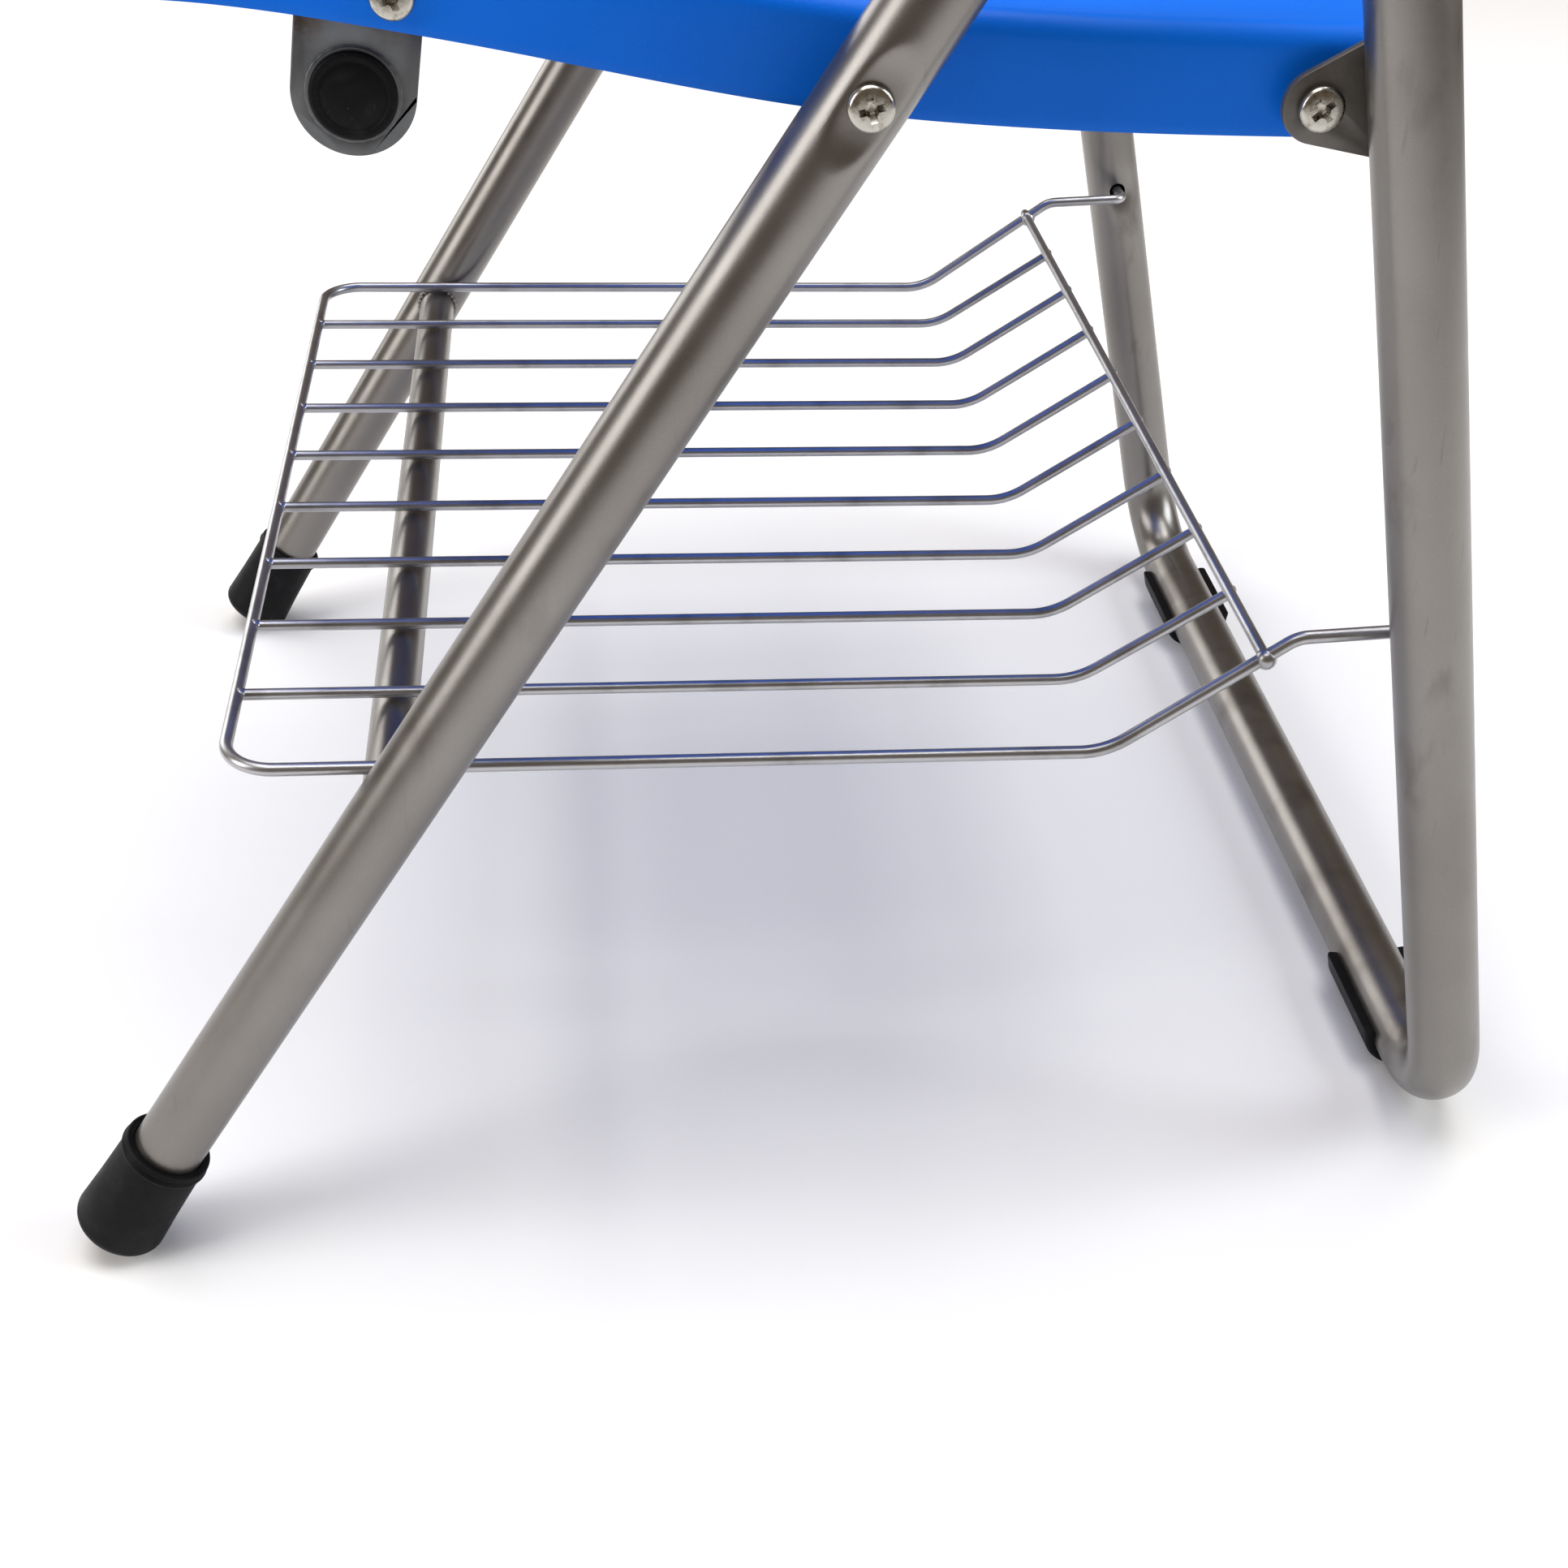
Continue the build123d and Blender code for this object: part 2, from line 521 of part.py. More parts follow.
# pins at the tops of the rear legs, running in the guide slots
pin_nut_x = PLATE_X - GAP
pin_bolt = (pin_nut_x - PIN_NUT_H - 1, REAR_X + TUBE_R, PIN_R, PIN_HEAD_R, PIN_HEAD_H)
pin_washer = (PLATE_X + PLATE_T + GAP, REAR_X - TUBE_R, BUSH_R, PIN_R)
pin_nut = (pin_nut_x - PIN_NUT_H, pin_nut_x, PIN_NUT_R, PIN_R)
save_group([bolt(side, PIN, *pin_bolt) for side in (1, -1)], "guide_pins")
save_group([ring(side, PIN, *pin_washer) for side in (1, -1)], "guide_pin_washers")
save_group([nut(side, PIN, *pin_nut) for side in (1, -1)], "guide_pin_nuts")

# ---------------------------------------------------------------- rack
ramp_top = (RACK_HOOK[0] - HOOK_REACH, RACK_HOOK[1])
flat_front = rack_point((RACK_BEND[0] - RACK_FRONT_Y) / cos(radians(RACK_RISE)), 0)
hook_x = REAR_X - TUBE_R - GAP
outer_points = both_sides(
    [
        (hook_x, *RACK_HOOK),
        (RACK_HALF_WIDTH, *RACK_HOOK),
        (RACK_HALF_WIDTH, *ramp_top),
        (RACK_HALF_WIDTH, *RACK_BEND),
        (RACK_HALF_WIDTH, *flat_front),
    ]
)
outer_bends = [HOOK_BEND_R, RAMP_TOP_R, RAMP_BEND_R, RACK_CORNER_R]
outer_bends += reversed(outer_bends)
save(bent_rod(outer_points, outer_bends, OUTER_WIRE_R), "rack_outer_wire")

ramp_length = hypot(ramp_top[0] - RACK_BEND[0], ramp_top[1] - RACK_BEND[1])
rod_share = ROD_UP_RAMP / ramp_length
rod_point = tuple(RACK_BEND[i] + (ramp_top[i] - RACK_BEND[i]) * rod_share for i in (0, 1))
wire_spacing = 2 * RACK_HALF_WIDTH / (RACK_WIRES - 1)
inner_wires = []
for number in range(1, RACK_WIRES - 1):
    x = -RACK_HALF_WIDTH + number * wire_spacing
    with BuildPart() as wire:
        with BuildLine() as path:
            FilletPolyline((x, *rod_point), (x, *RACK_BEND), (x, *flat_front), radius=RAMP_BEND_R)
        with BuildSketch(Plane(origin=path.line @ 0, z_dir=path.line % 0)):
            Circle(RACK_WIRE_R)
        sweep(path=path.line)
        with BuildSketch(across(1, x - 5, rod_point)):
            Circle(RACK_WIRE_R)
        extrude(amount=10, mode=Mode.SUBTRACT)
        with BuildSketch(across(1, x - 5, flat_front)):
            Circle(OUTER_WIRE_R)
        extrude(amount=10, mode=Mode.SUBTRACT)
    inner_wires.append(wire.solids().sort_by(SortBy.VOLUME)[-1])
save_group(inner_wires, "rack_inner_wires")

with BuildPart() as rack_rear_rod:
    with BuildSketch(across(1, 0, rod_point)):
        Circle(RACK_WIRE_R)
    extrude(amount=RACK_HALF_WIDTH - OUTER_WIRE_R, both=True)
save(rack_rear_rod.part, "rack_rear_rod")

# ---------------------------------------------------------------- back


def back_block(inset, low, high, behind):
    """The back's hollow outline: a panel bowed across its width, with a skirt to the rear."""
    half = BACK_HALF - inset
    with BuildPart(mode=Mode.PRIVATE) as block:
        with BuildSketch(Plane(back_plane(0, low, 0).origin, (1, 0, 0), (0, *BACK_UP))):
            right_end, left_end = (-half, inset - BACK_SIDES), (half, inset - BACK_SIDES)
            with BuildLine() as outline:
                ThreePointArc(right_end, (0, inset - BACK_MIDDLE), left_end)
                Polyline(left_end, (half, -behind), (-half, -behind), right_end)
            make_face(outline.line)
        extrude(amount=high - low)
        forwards = Axis((0, 0, 0), (0, -BACK_UP[1], BACK_UP[0]))
        fillet(block.edges().filter_by(forwards).sort_by(Axis.Z)[-2:], BACK_CORNER_R - inset)
    return block.part


with BuildPart() as backrest_shell:
    add(back_block(0, BACK_LOW, BACK_HIGH, BACK_BEHIND))
    add(
        back_block(BACK_WALL, BACK_LOW - 5, BACK_HIGH - BACK_WALL, BACK_BEHIND - 5),
        mode=Mode.SUBTRACT,
    )
    # bosses that stand on the tube and take the screws
    for x, up in BACK_SCREWS:
        bow = (BACK_SIDES - BACK_MIDDLE) * (x / BACK_HALF) ** 2
        for side in (1, -1):
            with BuildSketch(back_plane(side * x, up, TUBE_R)):
                Circle(BOSS_R)
            extrude(amount=BACK_MIDDLE + bow - BACK_WALL / 2 - TUBE_R)
            with Locations(Location(back_plane(side * x, up, 0))):
                Cylinder(BACK_SCREW_R, TUBE_R + 4, align=INWARDS, mode=Mode.SUBTRACT)
    add(frame_rod, mode=Mode.SUBTRACT)
save(backrest_shell.solids().sort_by(SortBy.VOLUME)[-1], "backrest_shell")

back_screws = []
for x, up in BACK_SCREWS:
    for side in (1, -1):
        with BuildPart() as back_screw:
            with BuildSketch(back_plane(side * x, up, -TUBE_R)):
                Circle(BACK_SCREW_R)
            extrude(amount=2 * TUBE_R + 3.5)
            with BuildSketch(back_plane(side * x, up, -TUBE_R - BACK_SCREW_HEAD_H)):
                Circle(BACK_SCREW_HEAD_R)
            extrude(amount=BACK_SCREW_HEAD_H)
        back_screws.append(back_screw.part)
save_group(back_screws, "back_screws")
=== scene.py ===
import json
from math import atan2, cos, exp, hypot, pi, radians, sin, tan

import bmesh
import bpy
from mathutils import Matrix, Vector


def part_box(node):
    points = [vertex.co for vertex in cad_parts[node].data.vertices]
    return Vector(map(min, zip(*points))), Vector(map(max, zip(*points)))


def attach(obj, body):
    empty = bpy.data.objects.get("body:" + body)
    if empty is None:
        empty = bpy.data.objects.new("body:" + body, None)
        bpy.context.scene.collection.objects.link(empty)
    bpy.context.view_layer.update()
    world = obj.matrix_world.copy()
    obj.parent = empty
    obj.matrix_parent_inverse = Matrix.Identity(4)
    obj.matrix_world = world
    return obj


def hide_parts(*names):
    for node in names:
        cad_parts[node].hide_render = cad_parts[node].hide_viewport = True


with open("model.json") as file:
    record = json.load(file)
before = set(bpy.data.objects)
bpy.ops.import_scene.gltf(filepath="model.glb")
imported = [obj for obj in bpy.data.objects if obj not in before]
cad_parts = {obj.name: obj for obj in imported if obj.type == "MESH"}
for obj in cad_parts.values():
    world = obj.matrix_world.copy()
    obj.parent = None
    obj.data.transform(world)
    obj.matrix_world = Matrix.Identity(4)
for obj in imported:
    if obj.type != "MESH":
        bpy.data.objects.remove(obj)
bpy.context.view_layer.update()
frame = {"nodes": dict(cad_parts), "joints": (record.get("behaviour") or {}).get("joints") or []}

# ---- sizes (metres, degrees)
joint_at = {joint["name"]: Vector(joint["pos_m"]) for joint in frame["joints"] if "pos_m" in joint}
SEAT_PIVOT = joint_at["seat_fold"]
REAR_PIVOT = joint_at["rear_leg_fold"]
CROSSBAR = joint_at["rack_tilt"]

TUBE_R = 0.0125
FRONT_X, REAR_X = 0.2228, 0.2288  # leg axes from the centre plane
FRONT_LEAN, REAR_LEAN, BACK_LEAN = 34.62, 10.54, 16.0
BACK_BEND_Z, BACK_TOP_Z = 0.646, 0.774
CROSSBAR_R = 0.008
BAR_Z = 0.0153
REAR_CORNER_R = 0.038
SEAT_HALF, SEAT_SKIRT, SEAT_WALL = 0.2095, 0.030, 0.003
SEAT_FRONT, SEAT_REAR = -0.1964, 0.1816
# lower edge of the seat's skirt, front to rear
SEAT_EDGE = [(-0.202, 0.4315), (-0.146, 0.427), (-0.0884, 0.4158), (0.0096, 0.3932),
             (0.0836, 0.3832), (0.1886, 0.3755)]
CROSS_TUBE = Vector((0, -0.1104, 0.4005))
CROSS_TUBE_X = 0.205
SKIRT_SCREW = Vector((0.2095, -0.0968, 0.4266))
WIRE_R, OUTER_WIRE_R = 0.002, 0.00225
RACK_HALF, RACK_WIRES = 0.2068, 10
RACK_HOOK = Vector((0, 0.2055, 0.2130))
RACK_BEND = Vector((0, 0.1078, 0.1735))
RACK_FRONT_Y, RACK_RISE = -0.1807, 3.2
HOOK_REACH, ROD_UP_RAMP = 0.0366, 0.0605
BACK_HALF, BACK_WALL = 0.2391, 0.0035
GLIDE_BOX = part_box("floor_glide_left")
BAR_Y = (GLIDE_BOX[0][1] + GLIDE_BOX[1][1]) / 2

# how fine the round shapes are, and the sharpest angle that is shaded smooth
BEND_STEPS, EDGE_STEPS = 24, 8
WELD_SEGMENTS, WELD_RINGS = 12, 8
SOFT_ANGLE, TURNED_ANGLE, PANEL_ANGLE = 40, 32, 50
SIDES = ((1, "left"), (-1, "right"))

front_slope, rear_slope = tan(radians(FRONT_LEAN)), tan(radians(REAR_LEAN))
UP_FRONT = Vector((0, sin(radians(FRONT_LEAN)), cos(radians(FRONT_LEAN))))
UP_REAR = Vector((0, -sin(radians(REAR_LEAN)), cos(radians(REAR_LEAN))))
UP_BACK = Vector((0, sin(radians(BACK_LEAN)), cos(radians(BACK_LEAN))))


def on_front_leg(z, side=1):
    """Point on a front leg's axis at height z."""
    return Vector((side * FRONT_X, SEAT_PIVOT.y + (z - SEAT_PIVOT.z) * front_slope, z))


def on_rear_leg(z, side=1):
    """Point on a rear leg's axis at height z."""
    return Vector((side * REAR_X, BAR_Y - (z - BAR_Z) * rear_slope, z))


# ---- node trees
def new_tree(name, sockets):
    """A geometry tree with named inputs, its input node and its output node."""
    tree = bpy.data.node_groups.new(name, "GeometryNodeTree")
    tree.interface.new_socket("Geometry", in_out="OUTPUT", socket_type="NodeSocketGeometry")
    for label, kind in sockets:
        tree.interface.new_socket(label, in_out="INPUT", socket_type="NodeSocket" + kind)
    return tree, tree.nodes.new("NodeGroupInput"), tree.nodes.new("NodeGroupOutput")


def add_node(tree, kind, settings=None, **inputs):
    """A node with its settings, each input a constant or another node's socket."""
    node = tree.nodes.new(kind)
    for key, value in (settings or {}).items():
        setattr(node, key, value)
    for key, value in inputs.items():
        socket = node.inputs[key.replace("_", " ")]
        if isinstance(value, bpy.types.NodeSocket):
            tree.links.new(value, socket)
        else:
            socket.default_value = value
    return node


def tube_along(tree, path, given):
    """Nodes that round a path's corners and sweep a circle along it."""
    bend = add_node(tree, "GeometryNodeInputNamedAttribute", {"data_type": "FLOAT"}, Name="bend")
    curve = add_node(tree, "GeometryNodeMeshToCurve", Mesh=path)
    rounded = add_node(tree, "GeometryNodeFilletCurve", {"mode": "POLY"}, Curve=curve.outputs[0],
                       Radius=bend.outputs[0], Count=BEND_STEPS)
    spaced = add_node(tree, "GeometryNodeResampleCurve", {"mode": "LENGTH"},
                      Curve=rounded.outputs[0], Length=given.outputs["Ring Spacing"])
    circle = add_node(tree, "GeometryNodeCurvePrimitiveCircle", Radius=given.outputs["Radius"],
                      Resolution=given.outputs["Sides"])
    return add_node(tree, "GeometryNodeCurveToMesh", Curve=spaced.outputs[0],
                    Profile_Curve=circle.outputs[0], Fill_Caps=True).outputs[0]


def end_tree(tree, result, given, leave):
    """Realize the instances, set the material and link the output."""
    real = add_node(tree, "GeometryNodeRealizeInstances", Geometry=result)
    done = add_node(tree, "GeometryNodeSetMaterial", Geometry=real.outputs[0],
                    Material=given.outputs["Material"])
    tree.links.new(done.outputs[0], leave.inputs[0])


TUBE_SOCKETS = [("Path", "Geometry"), ("Radius", "Float"), ("Sides", "Int"),
                ("Ring Spacing", "Float"), ("Material", "Material")]


def bent_tube_tree():
    """One tube or wire along a path with rounded corners."""
    tree, given, leave = new_tree("bent tube", TUBE_SOCKETS)
    end_tree(tree, tube_along(tree, given.outputs["Path"], given), given, leave)
    return tree


def wire_row_tree():
    """A bent wire repeated in a row across the rack, with a weld at each of its ends."""
    sockets = TUBE_SOCKETS + [("Wires", "Int"), ("First Wire", "Vector"), ("Wire Spacing", "Vector"),
                              ("Front Weld", "Vector"), ("Rear Weld", "Vector"), ("Weld Size", "Vector")]
    tree, given, leave = new_tree("row of wires", sockets)
    wire = tube_along(tree, given.outputs["Path"], given)
    parts = add_node(tree, "GeometryNodeJoinGeometry")
    tree.links.new(wire, parts.inputs[0])
    for place in ("Front Weld", "Rear Weld"):
        bead = add_node(tree, "GeometryNodeMeshUVSphere", Segments=WELD_SEGMENTS,
                        Rings=WELD_RINGS, Radius=1.0)
        placed = add_node(tree, "GeometryNodeTransform", Geometry=bead.outputs[0],
                          Translation=given.outputs[place], Scale=given.outputs["Weld Size"])
        tree.links.new(placed.outputs[0], parts.inputs[0])
    places = add_node(tree, "GeometryNodeMeshLine", {"mode": "OFFSET"}, Count=given.outputs["Wires"],
                      Start_Location=given.outputs["First Wire"], Offset=given.outputs["Wire Spacing"])
    row = add_node(tree, "GeometryNodeInstanceOnPoints", Points=places.outputs[0],
                   Instance=parts.outputs[0])
    end_tree(tree, row.outputs[0], given, leave)
    return tree


def pair_tree():
    """A fastener on the left side and the same one turned round on the right."""
    tree, given, leave = new_tree("fastener pair", [("Piece", "Geometry"), ("Place", "Vector"),
                                                    ("Spin", "Float"), ("Material", "Material")])
    both = add_node(tree, "GeometryNodeJoinGeometry")
    spin = add_node(tree, "ShaderNodeCombineXYZ", X=given.outputs["Spin"])
    spun = add_node(tree, "GeometryNodeTransform", Geometry=given.outputs["Piece"],
                    Rotation=spin.outputs[0])
    for turn, sign in ((0.0, 1.0), (pi, -1.0)):
        side = add_node(tree, "ShaderNodeVectorMath", {"operation": "MULTIPLY"})
        tree.links.new(given.outputs["Place"], side.inputs[0])
        side.inputs[1].default_value = (sign, 1, 1)
        placed = add_node(tree, "GeometryNodeTransform", Geometry=spun.outputs[0],
                          Rotation=(0, 0, turn), Translation=side.outputs[0])
        tree.links.new(placed.outputs[0], both.inputs[0])
    end_tree(tree, both.outputs[0], given, leave)
    return tree


def rib_tree():
    """Straight ribs repeated front to rear under the seat."""
    tree, given, leave = new_tree("seat ribs", [("Path", "Geometry"), ("Rib Size", "Vector"),
                                                ("Material", "Material")])
    rib = add_node(tree, "GeometryNodeMeshCube", Size=given.outputs["Rib Size"])
    row = add_node(tree, "GeometryNodeInstanceOnPoints", Points=given.outputs["Path"],
                   Instance=rib.outputs[0])
    end_tree(tree, row.outputs[0], given, leave)
    return tree


# ---- making and placing pieces
def link(name, mesh):
    """A new object in the scene, at the origin."""
    piece = bpy.data.objects.new(name, mesh)
    bpy.context.scene.collection.objects.link(piece)
    return piece


def plain(piece, smooth=SOFT_ANGLE):
    """Turn a piece with modifiers into a plain mesh whose faces point outwards."""
    graph = bpy.context.evaluated_depsgraph_get()
    mesh = bpy.data.meshes.new_from_object(piece.evaluated_get(graph))
    piece.modifiers.clear()
    piece.data = mesh
    shell = bmesh.new()
    shell.from_mesh(mesh)
    if shell.calc_volume(signed=True) < 0:
        bmesh.ops.reverse_faces(shell, faces=shell.faces)
    shell.to_mesh(mesh)
    shell.free()
    mesh.polygons.foreach_set("use_smooth", [True] * len(mesh.polygons))
    mesh.set_sharp_from_angle(angle=radians(smooth))
    return piece


def grow(name, tree, base, values, smooth=SOFT_ANGLE):
    """Run a tree on a base mesh with its inputs set by name, and keep the plain result."""
    piece = link(name, base)
    modifier = piece.modifiers.new("grow", "NODES")
    modifier.node_group = tree
    for item in tree.interface.items_tree:
        if item.in_out == "INPUT" and item.name in values:
            modifier[item.identifier] = values[item.name]
    return plain(piece, smooth)


def path_mesh(points, bends):
    """A line of points; each carries the radius of its bend."""
    mesh = bpy.data.meshes.new("path")
    mesh.from_pydata([tuple(p) for p in points], [(i, i + 1) for i in range(len(points) - 1)], [])
    bend = mesh.attributes.new("bend", "FLOAT", "POINT")
    bend.data.foreach_set("value", bends)
    return mesh


def both_sides(points):
    """A path's left-hand points, then their mirror images."""
    return points + [Vector((-p.x, p.y, p.z)) for p in reversed(points)]


def bent_tube(name, points, bends, radius, material, sides=64, spacing=0.0025):
    """A tube through points, each with the radius of its bend; spacing is between its rings."""
    values = {"Radius": radius, "Sides": sides, "Ring Spacing": spacing, "Material": material}
    return grow(name, BENT_TUBE, path_mesh(points, bends), values)


def mesh_piece(name, vertices, faces, material, smooth=SOFT_ANGLE):
    """A piece from its corners and faces."""
    mesh = bpy.data.meshes.new(name)
    mesh.from_pydata([tuple(v) for v in vertices], [], faces)
    mesh.materials.append(material)
    return plain(link(name, mesh), smooth)


def round_axis(axis):
    """An axis's direction, and two directions square to it and to each other."""
    axis = Vector(axis).normalized()
    across = axis.orthogonal().normalized()
    return axis, across, axis.cross(across)


def turned_piece(name, profile, origin, axis, material, sides=64):
    """A lathe-turned piece: its profile is (radius, height) from bottom centre to top centre."""
    axis, across, other = round_axis(axis)
    vertices = [origin + axis * profile[0][1]]
    for radius, height in profile[1:-1]:
        for i in range(sides):
            a = 2 * pi * i / sides
            vertices.append(origin + axis * height + (across * cos(a) + other * sin(a)) * radius)
    vertices.append(origin + axis * profile[-1][1])
    faces, rings = [], len(profile) - 2
    for i in range(sides):
        j = (i + 1) % sides
        faces.append((0, 1 + j, 1 + i))
        for r in range(rings - 1):
            low, high = 1 + r * sides, 1 + (r + 1) * sides
            faces.append((low + i, low + j, high + j, high + i))
        last = 1 + (rings - 1) * sides
        faces.append((last + i, last + j, len(vertices) - 1))
    return mesh_piece(name, vertices, faces, material, TURNED_ANGLE)


def arc(centre, radius, start, stop, steps):
    """Points (radius, height) round part of a circle in a turned piece's profile."""
    angles = [radians(start + (stop - start) * i / steps) for i in range(steps + 1)]
    return [(centre[0] + radius * cos(a), centre[1] + radius * sin(a)) for a in angles]


def cut(piece, cutter):
    """Cut one closed piece out of another; the cut walls take the cutter's material."""
    modifier = piece.modifiers.new("cut", "BOOLEAN")
    modifier.operation, modifier.solver, modifier.object = "DIFFERENCE", "EXACT", cutter
    modifier.material_mode = "TRANSFER"
    plain(piece, TURNED_ANGLE)
    bpy.data.objects.remove(cutter)
    return piece


def settle(piece, body, slot, *nodes):
    """The piece moves with a body and stands for its CAD nodes, which are hidden; slot is not used."""
    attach(piece, body)
    if nodes:
        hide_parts(*nodes)
    return piece


def eased(node, body, slot, material, width=0.0004):
    """A CAD piece with its sharp edges eased; faces that share a plane are joined first."""
    weld_distance, same_plane, sharp_edge = 1e-6, radians(0.5), radians(35)
    shell = bmesh.new()
    shell.from_mesh(frame["nodes"][node].data)
    bmesh.ops.remove_doubles(shell, verts=shell.verts, dist=weld_distance)
    bmesh.ops.dissolve_limit(shell, angle_limit=same_plane, verts=shell.verts, edges=shell.edges)
    mesh = bpy.data.meshes.new(node + "_eased")
    shell.to_mesh(mesh)
    shell.free()
    mesh.materials.clear()
    mesh.materials.append(material)
    piece = link(node + "_eased", mesh)
    bevel = piece.modifiers.new("ease", "BEVEL")
    bevel.width, bevel.segments, bevel.limit_method = width, 2, "ANGLE"
    bevel.angle_limit = sharp_edge
    return settle(plain(piece, PANEL_ANGLE), body, slot, node)


# ---- materials
class Finish:
    """A procedural material: colour, roughness and relief from noise on Object coordinates."""

    def __init__(self, name, colour, metallic, roughness):
        self.material = bpy.data.materials.new(name)
        self.material.use_nodes = True
        self.tree = self.material.node_tree
        self.shader = self.tree.nodes["Principled BSDF"]
        self.shader.inputs["Base Color"].default_value = (*colour, 1)
        self.shader.inputs["Metallic"].default_value = metallic
        self.shader.inputs["Roughness"].default_value = roughness
        self.place = self.tree.nodes.new("ShaderNodeTexCoord").outputs["Object"]
        self.colour, self.relief = None, None
        self.base = (*colour, 1)

    def noise(self, scale, detail=3, stretch=(1, 1, 1)):
        """A noise pattern; scale is in repeats per metre."""
        mapping = add_node(self.tree, "ShaderNodeMapping", Vector=self.place, Scale=stretch)
        return add_node(self.tree, "ShaderNodeTexNoise", Vector=mapping.outputs[0], Scale=scale,
                        Detail=detail).outputs["Fac"]

    def band(self, pattern, low, high, flip=False):
        """The pattern spread from 0 at low to 1 at high."""
        spread = add_node(self.tree, "ShaderNodeMapRange", {"interpolation_type": "SMOOTHSTEP"},
                          Value=pattern, From_Min=low, From_Max=high)
        spread.inputs["To Min"].default_value = 1.0 if flip else 0.0
        spread.inputs["To Max"].default_value = 0.0 if flip else 1.0
        return spread.outputs[0]

    def times(self, a, b):
        """Two patterns, or a pattern and a number, multiplied."""
        product = self.tree.nodes.new("ShaderNodeMath")
        product.operation = "MULTIPLY"
        for socket, value in zip(product.inputs, (a, b)):
            if isinstance(value, bpy.types.NodeSocket):
                self.tree.links.new(value, socket)
            else:
                socket.default_value = value
        return product.outputs[0]

    def tint(self, colour, amount):
        """Mix a colour in by a pattern."""
        mix = self.tree.nodes.new("ShaderNodeMix")
        mix.data_type = "RGBA"
        colours = [s for s in mix.inputs if s.type == "RGBA"]
        self.tree.links.new(amount, mix.inputs["Factor"])
        if self.colour:
            self.tree.links.new(self.colour, colours[0])
        else:
            colours[0].default_value = self.base
        colours[1].default_value = (*colour, 1)
        self.colour = [s for s in mix.outputs if s.type == "RGBA"][0]
        self.tree.links.new(self.colour, self.shader.inputs["Base Color"])

    def roughness(self, pattern, low, high):
        """Roughness that follows a pattern."""
        spread = add_node(self.tree, "ShaderNodeMapRange", Value=pattern)
        spread.inputs["To Min"].default_value, spread.inputs["To Max"].default_value = low, high
        self.tree.links.new(spread.outputs[0], self.shader.inputs["Roughness"])

    def bump(self, pattern, height, strength=1.0):
        """Relief; height is in metres."""
        node = add_node(self.tree, "ShaderNodeBump", Height=pattern, Distance=height,
                        Strength=strength)
        if self.relief:
            self.tree.links.new(self.relief, node.inputs["Normal"])
        self.relief = node.outputs[0]
        self.tree.links.new(self.relief, self.shader.inputs["Normal"])

    def height(self, axis="Z"):
        """The Object coordinate along one axis."""
        parts = add_node(self.tree, "ShaderNodeSeparateXYZ", Vector=self.place)
        return parts.outputs[axis]

    def far_from(self, point):
        """Distance from a point, in metres."""
        node = self.tree.nodes.new("ShaderNodeVectorMath")
        node.operation = "DISTANCE"
        self.tree.links.new(self.place, node.inputs[0])
        node.inputs[1].default_value = tuple(point)
        return node.outputs["Value"]


def silver_paint(name, scuffs, darkened_below=None):
    """Satin silver-grey paint with fine metal flake, and rub marks where the tube is handled."""
    finish = Finish(name, (0.245, 0.232, 0.217), 0.92, 0.32)
    finish.tint((0.192, 0.177, 0.161), finish.band(finish.noise(9, 4), 0.35, 0.75))
    finish.tint((0.36, 0.36, 0.36), finish.band(finish.noise(5200, 2), 0.60, 0.78))
    smudge = finish.times(finish.band(finish.noise(38, 5, (1, 1, 0.45)), 0.60, 0.74), scuffs)
    finish.tint((0.105, 0.088, 0.072), smudge)
    scratch = finish.times(finish.band(finish.noise(70, 6, (1, 6, 0.5)), 0.66, 0.72), 0.45 * scuffs)
    finish.tint((0.135, 0.125, 0.118), scratch)
    # optionally, patches of darker tone towards the bottom, fading out between the two given heights
    if darkened_below:
        low_darkening = finish.times(finish.band(finish.height(), *darkened_below, flip=True),
                            finish.band(finish.noise(34, 4), 0.45, 0.75))
        finish.tint((0.135, 0.122, 0.110), low_darkening)
    finish.roughness(finish.noise(60, 4), 0.26, 0.39)
    finish.bump(finish.noise(420, 2), 0.00006, 0.35)
    finish.bump(finish.noise(3400, 2), 0.00002, 0.5)
    return finish.material


def wire_silver():
    """Drawn wire under thin silver paint, with fine lengthwise die marks."""
    finish = Finish("silver wire", (0.43, 0.43, 0.445), 0.9, 0.30)
    finish.tint((0.30, 0.295, 0.30), finish.band(finish.noise(60, 4), 0.45, 0.75))
    finish.tint((0.62, 0.62, 0.64), finish.band(finish.noise(6000, 2), 0.6, 0.8))
    finish.roughness(finish.noise(240, 3), 0.24, 0.38)
    finish.bump(finish.noise(2600, 3, (3, 0.3, 3)), 0.00003, 0.5)
    return finish.material


def blue_moulding():
    """Vivid blue polypropylene with a fine spark-eroded grain."""
    finish = Finish("blue moulding", (0.0, 0.175, 0.90), 0.0, 0.38)
    finish.tint((0.0, 0.145, 0.78), finish.band(finish.noise(6, 3), 0.40, 0.75))
    finish.tint((0.003, 0.205, 0.97), finish.times(finish.band(finish.noise(1500, 3), 0.56, 0.75), 0.5))
    finish.roughness(finish.noise(900, 3), 0.34, 0.50)
    finish.bump(finish.noise(1300, 3), 0.00010, 0.45)
    finish.bump(finish.noise(45, 3), 0.0004, 0.12)
    finish.shader.inputs["Specular IOR Level"].default_value = 0.18
    return finish.material


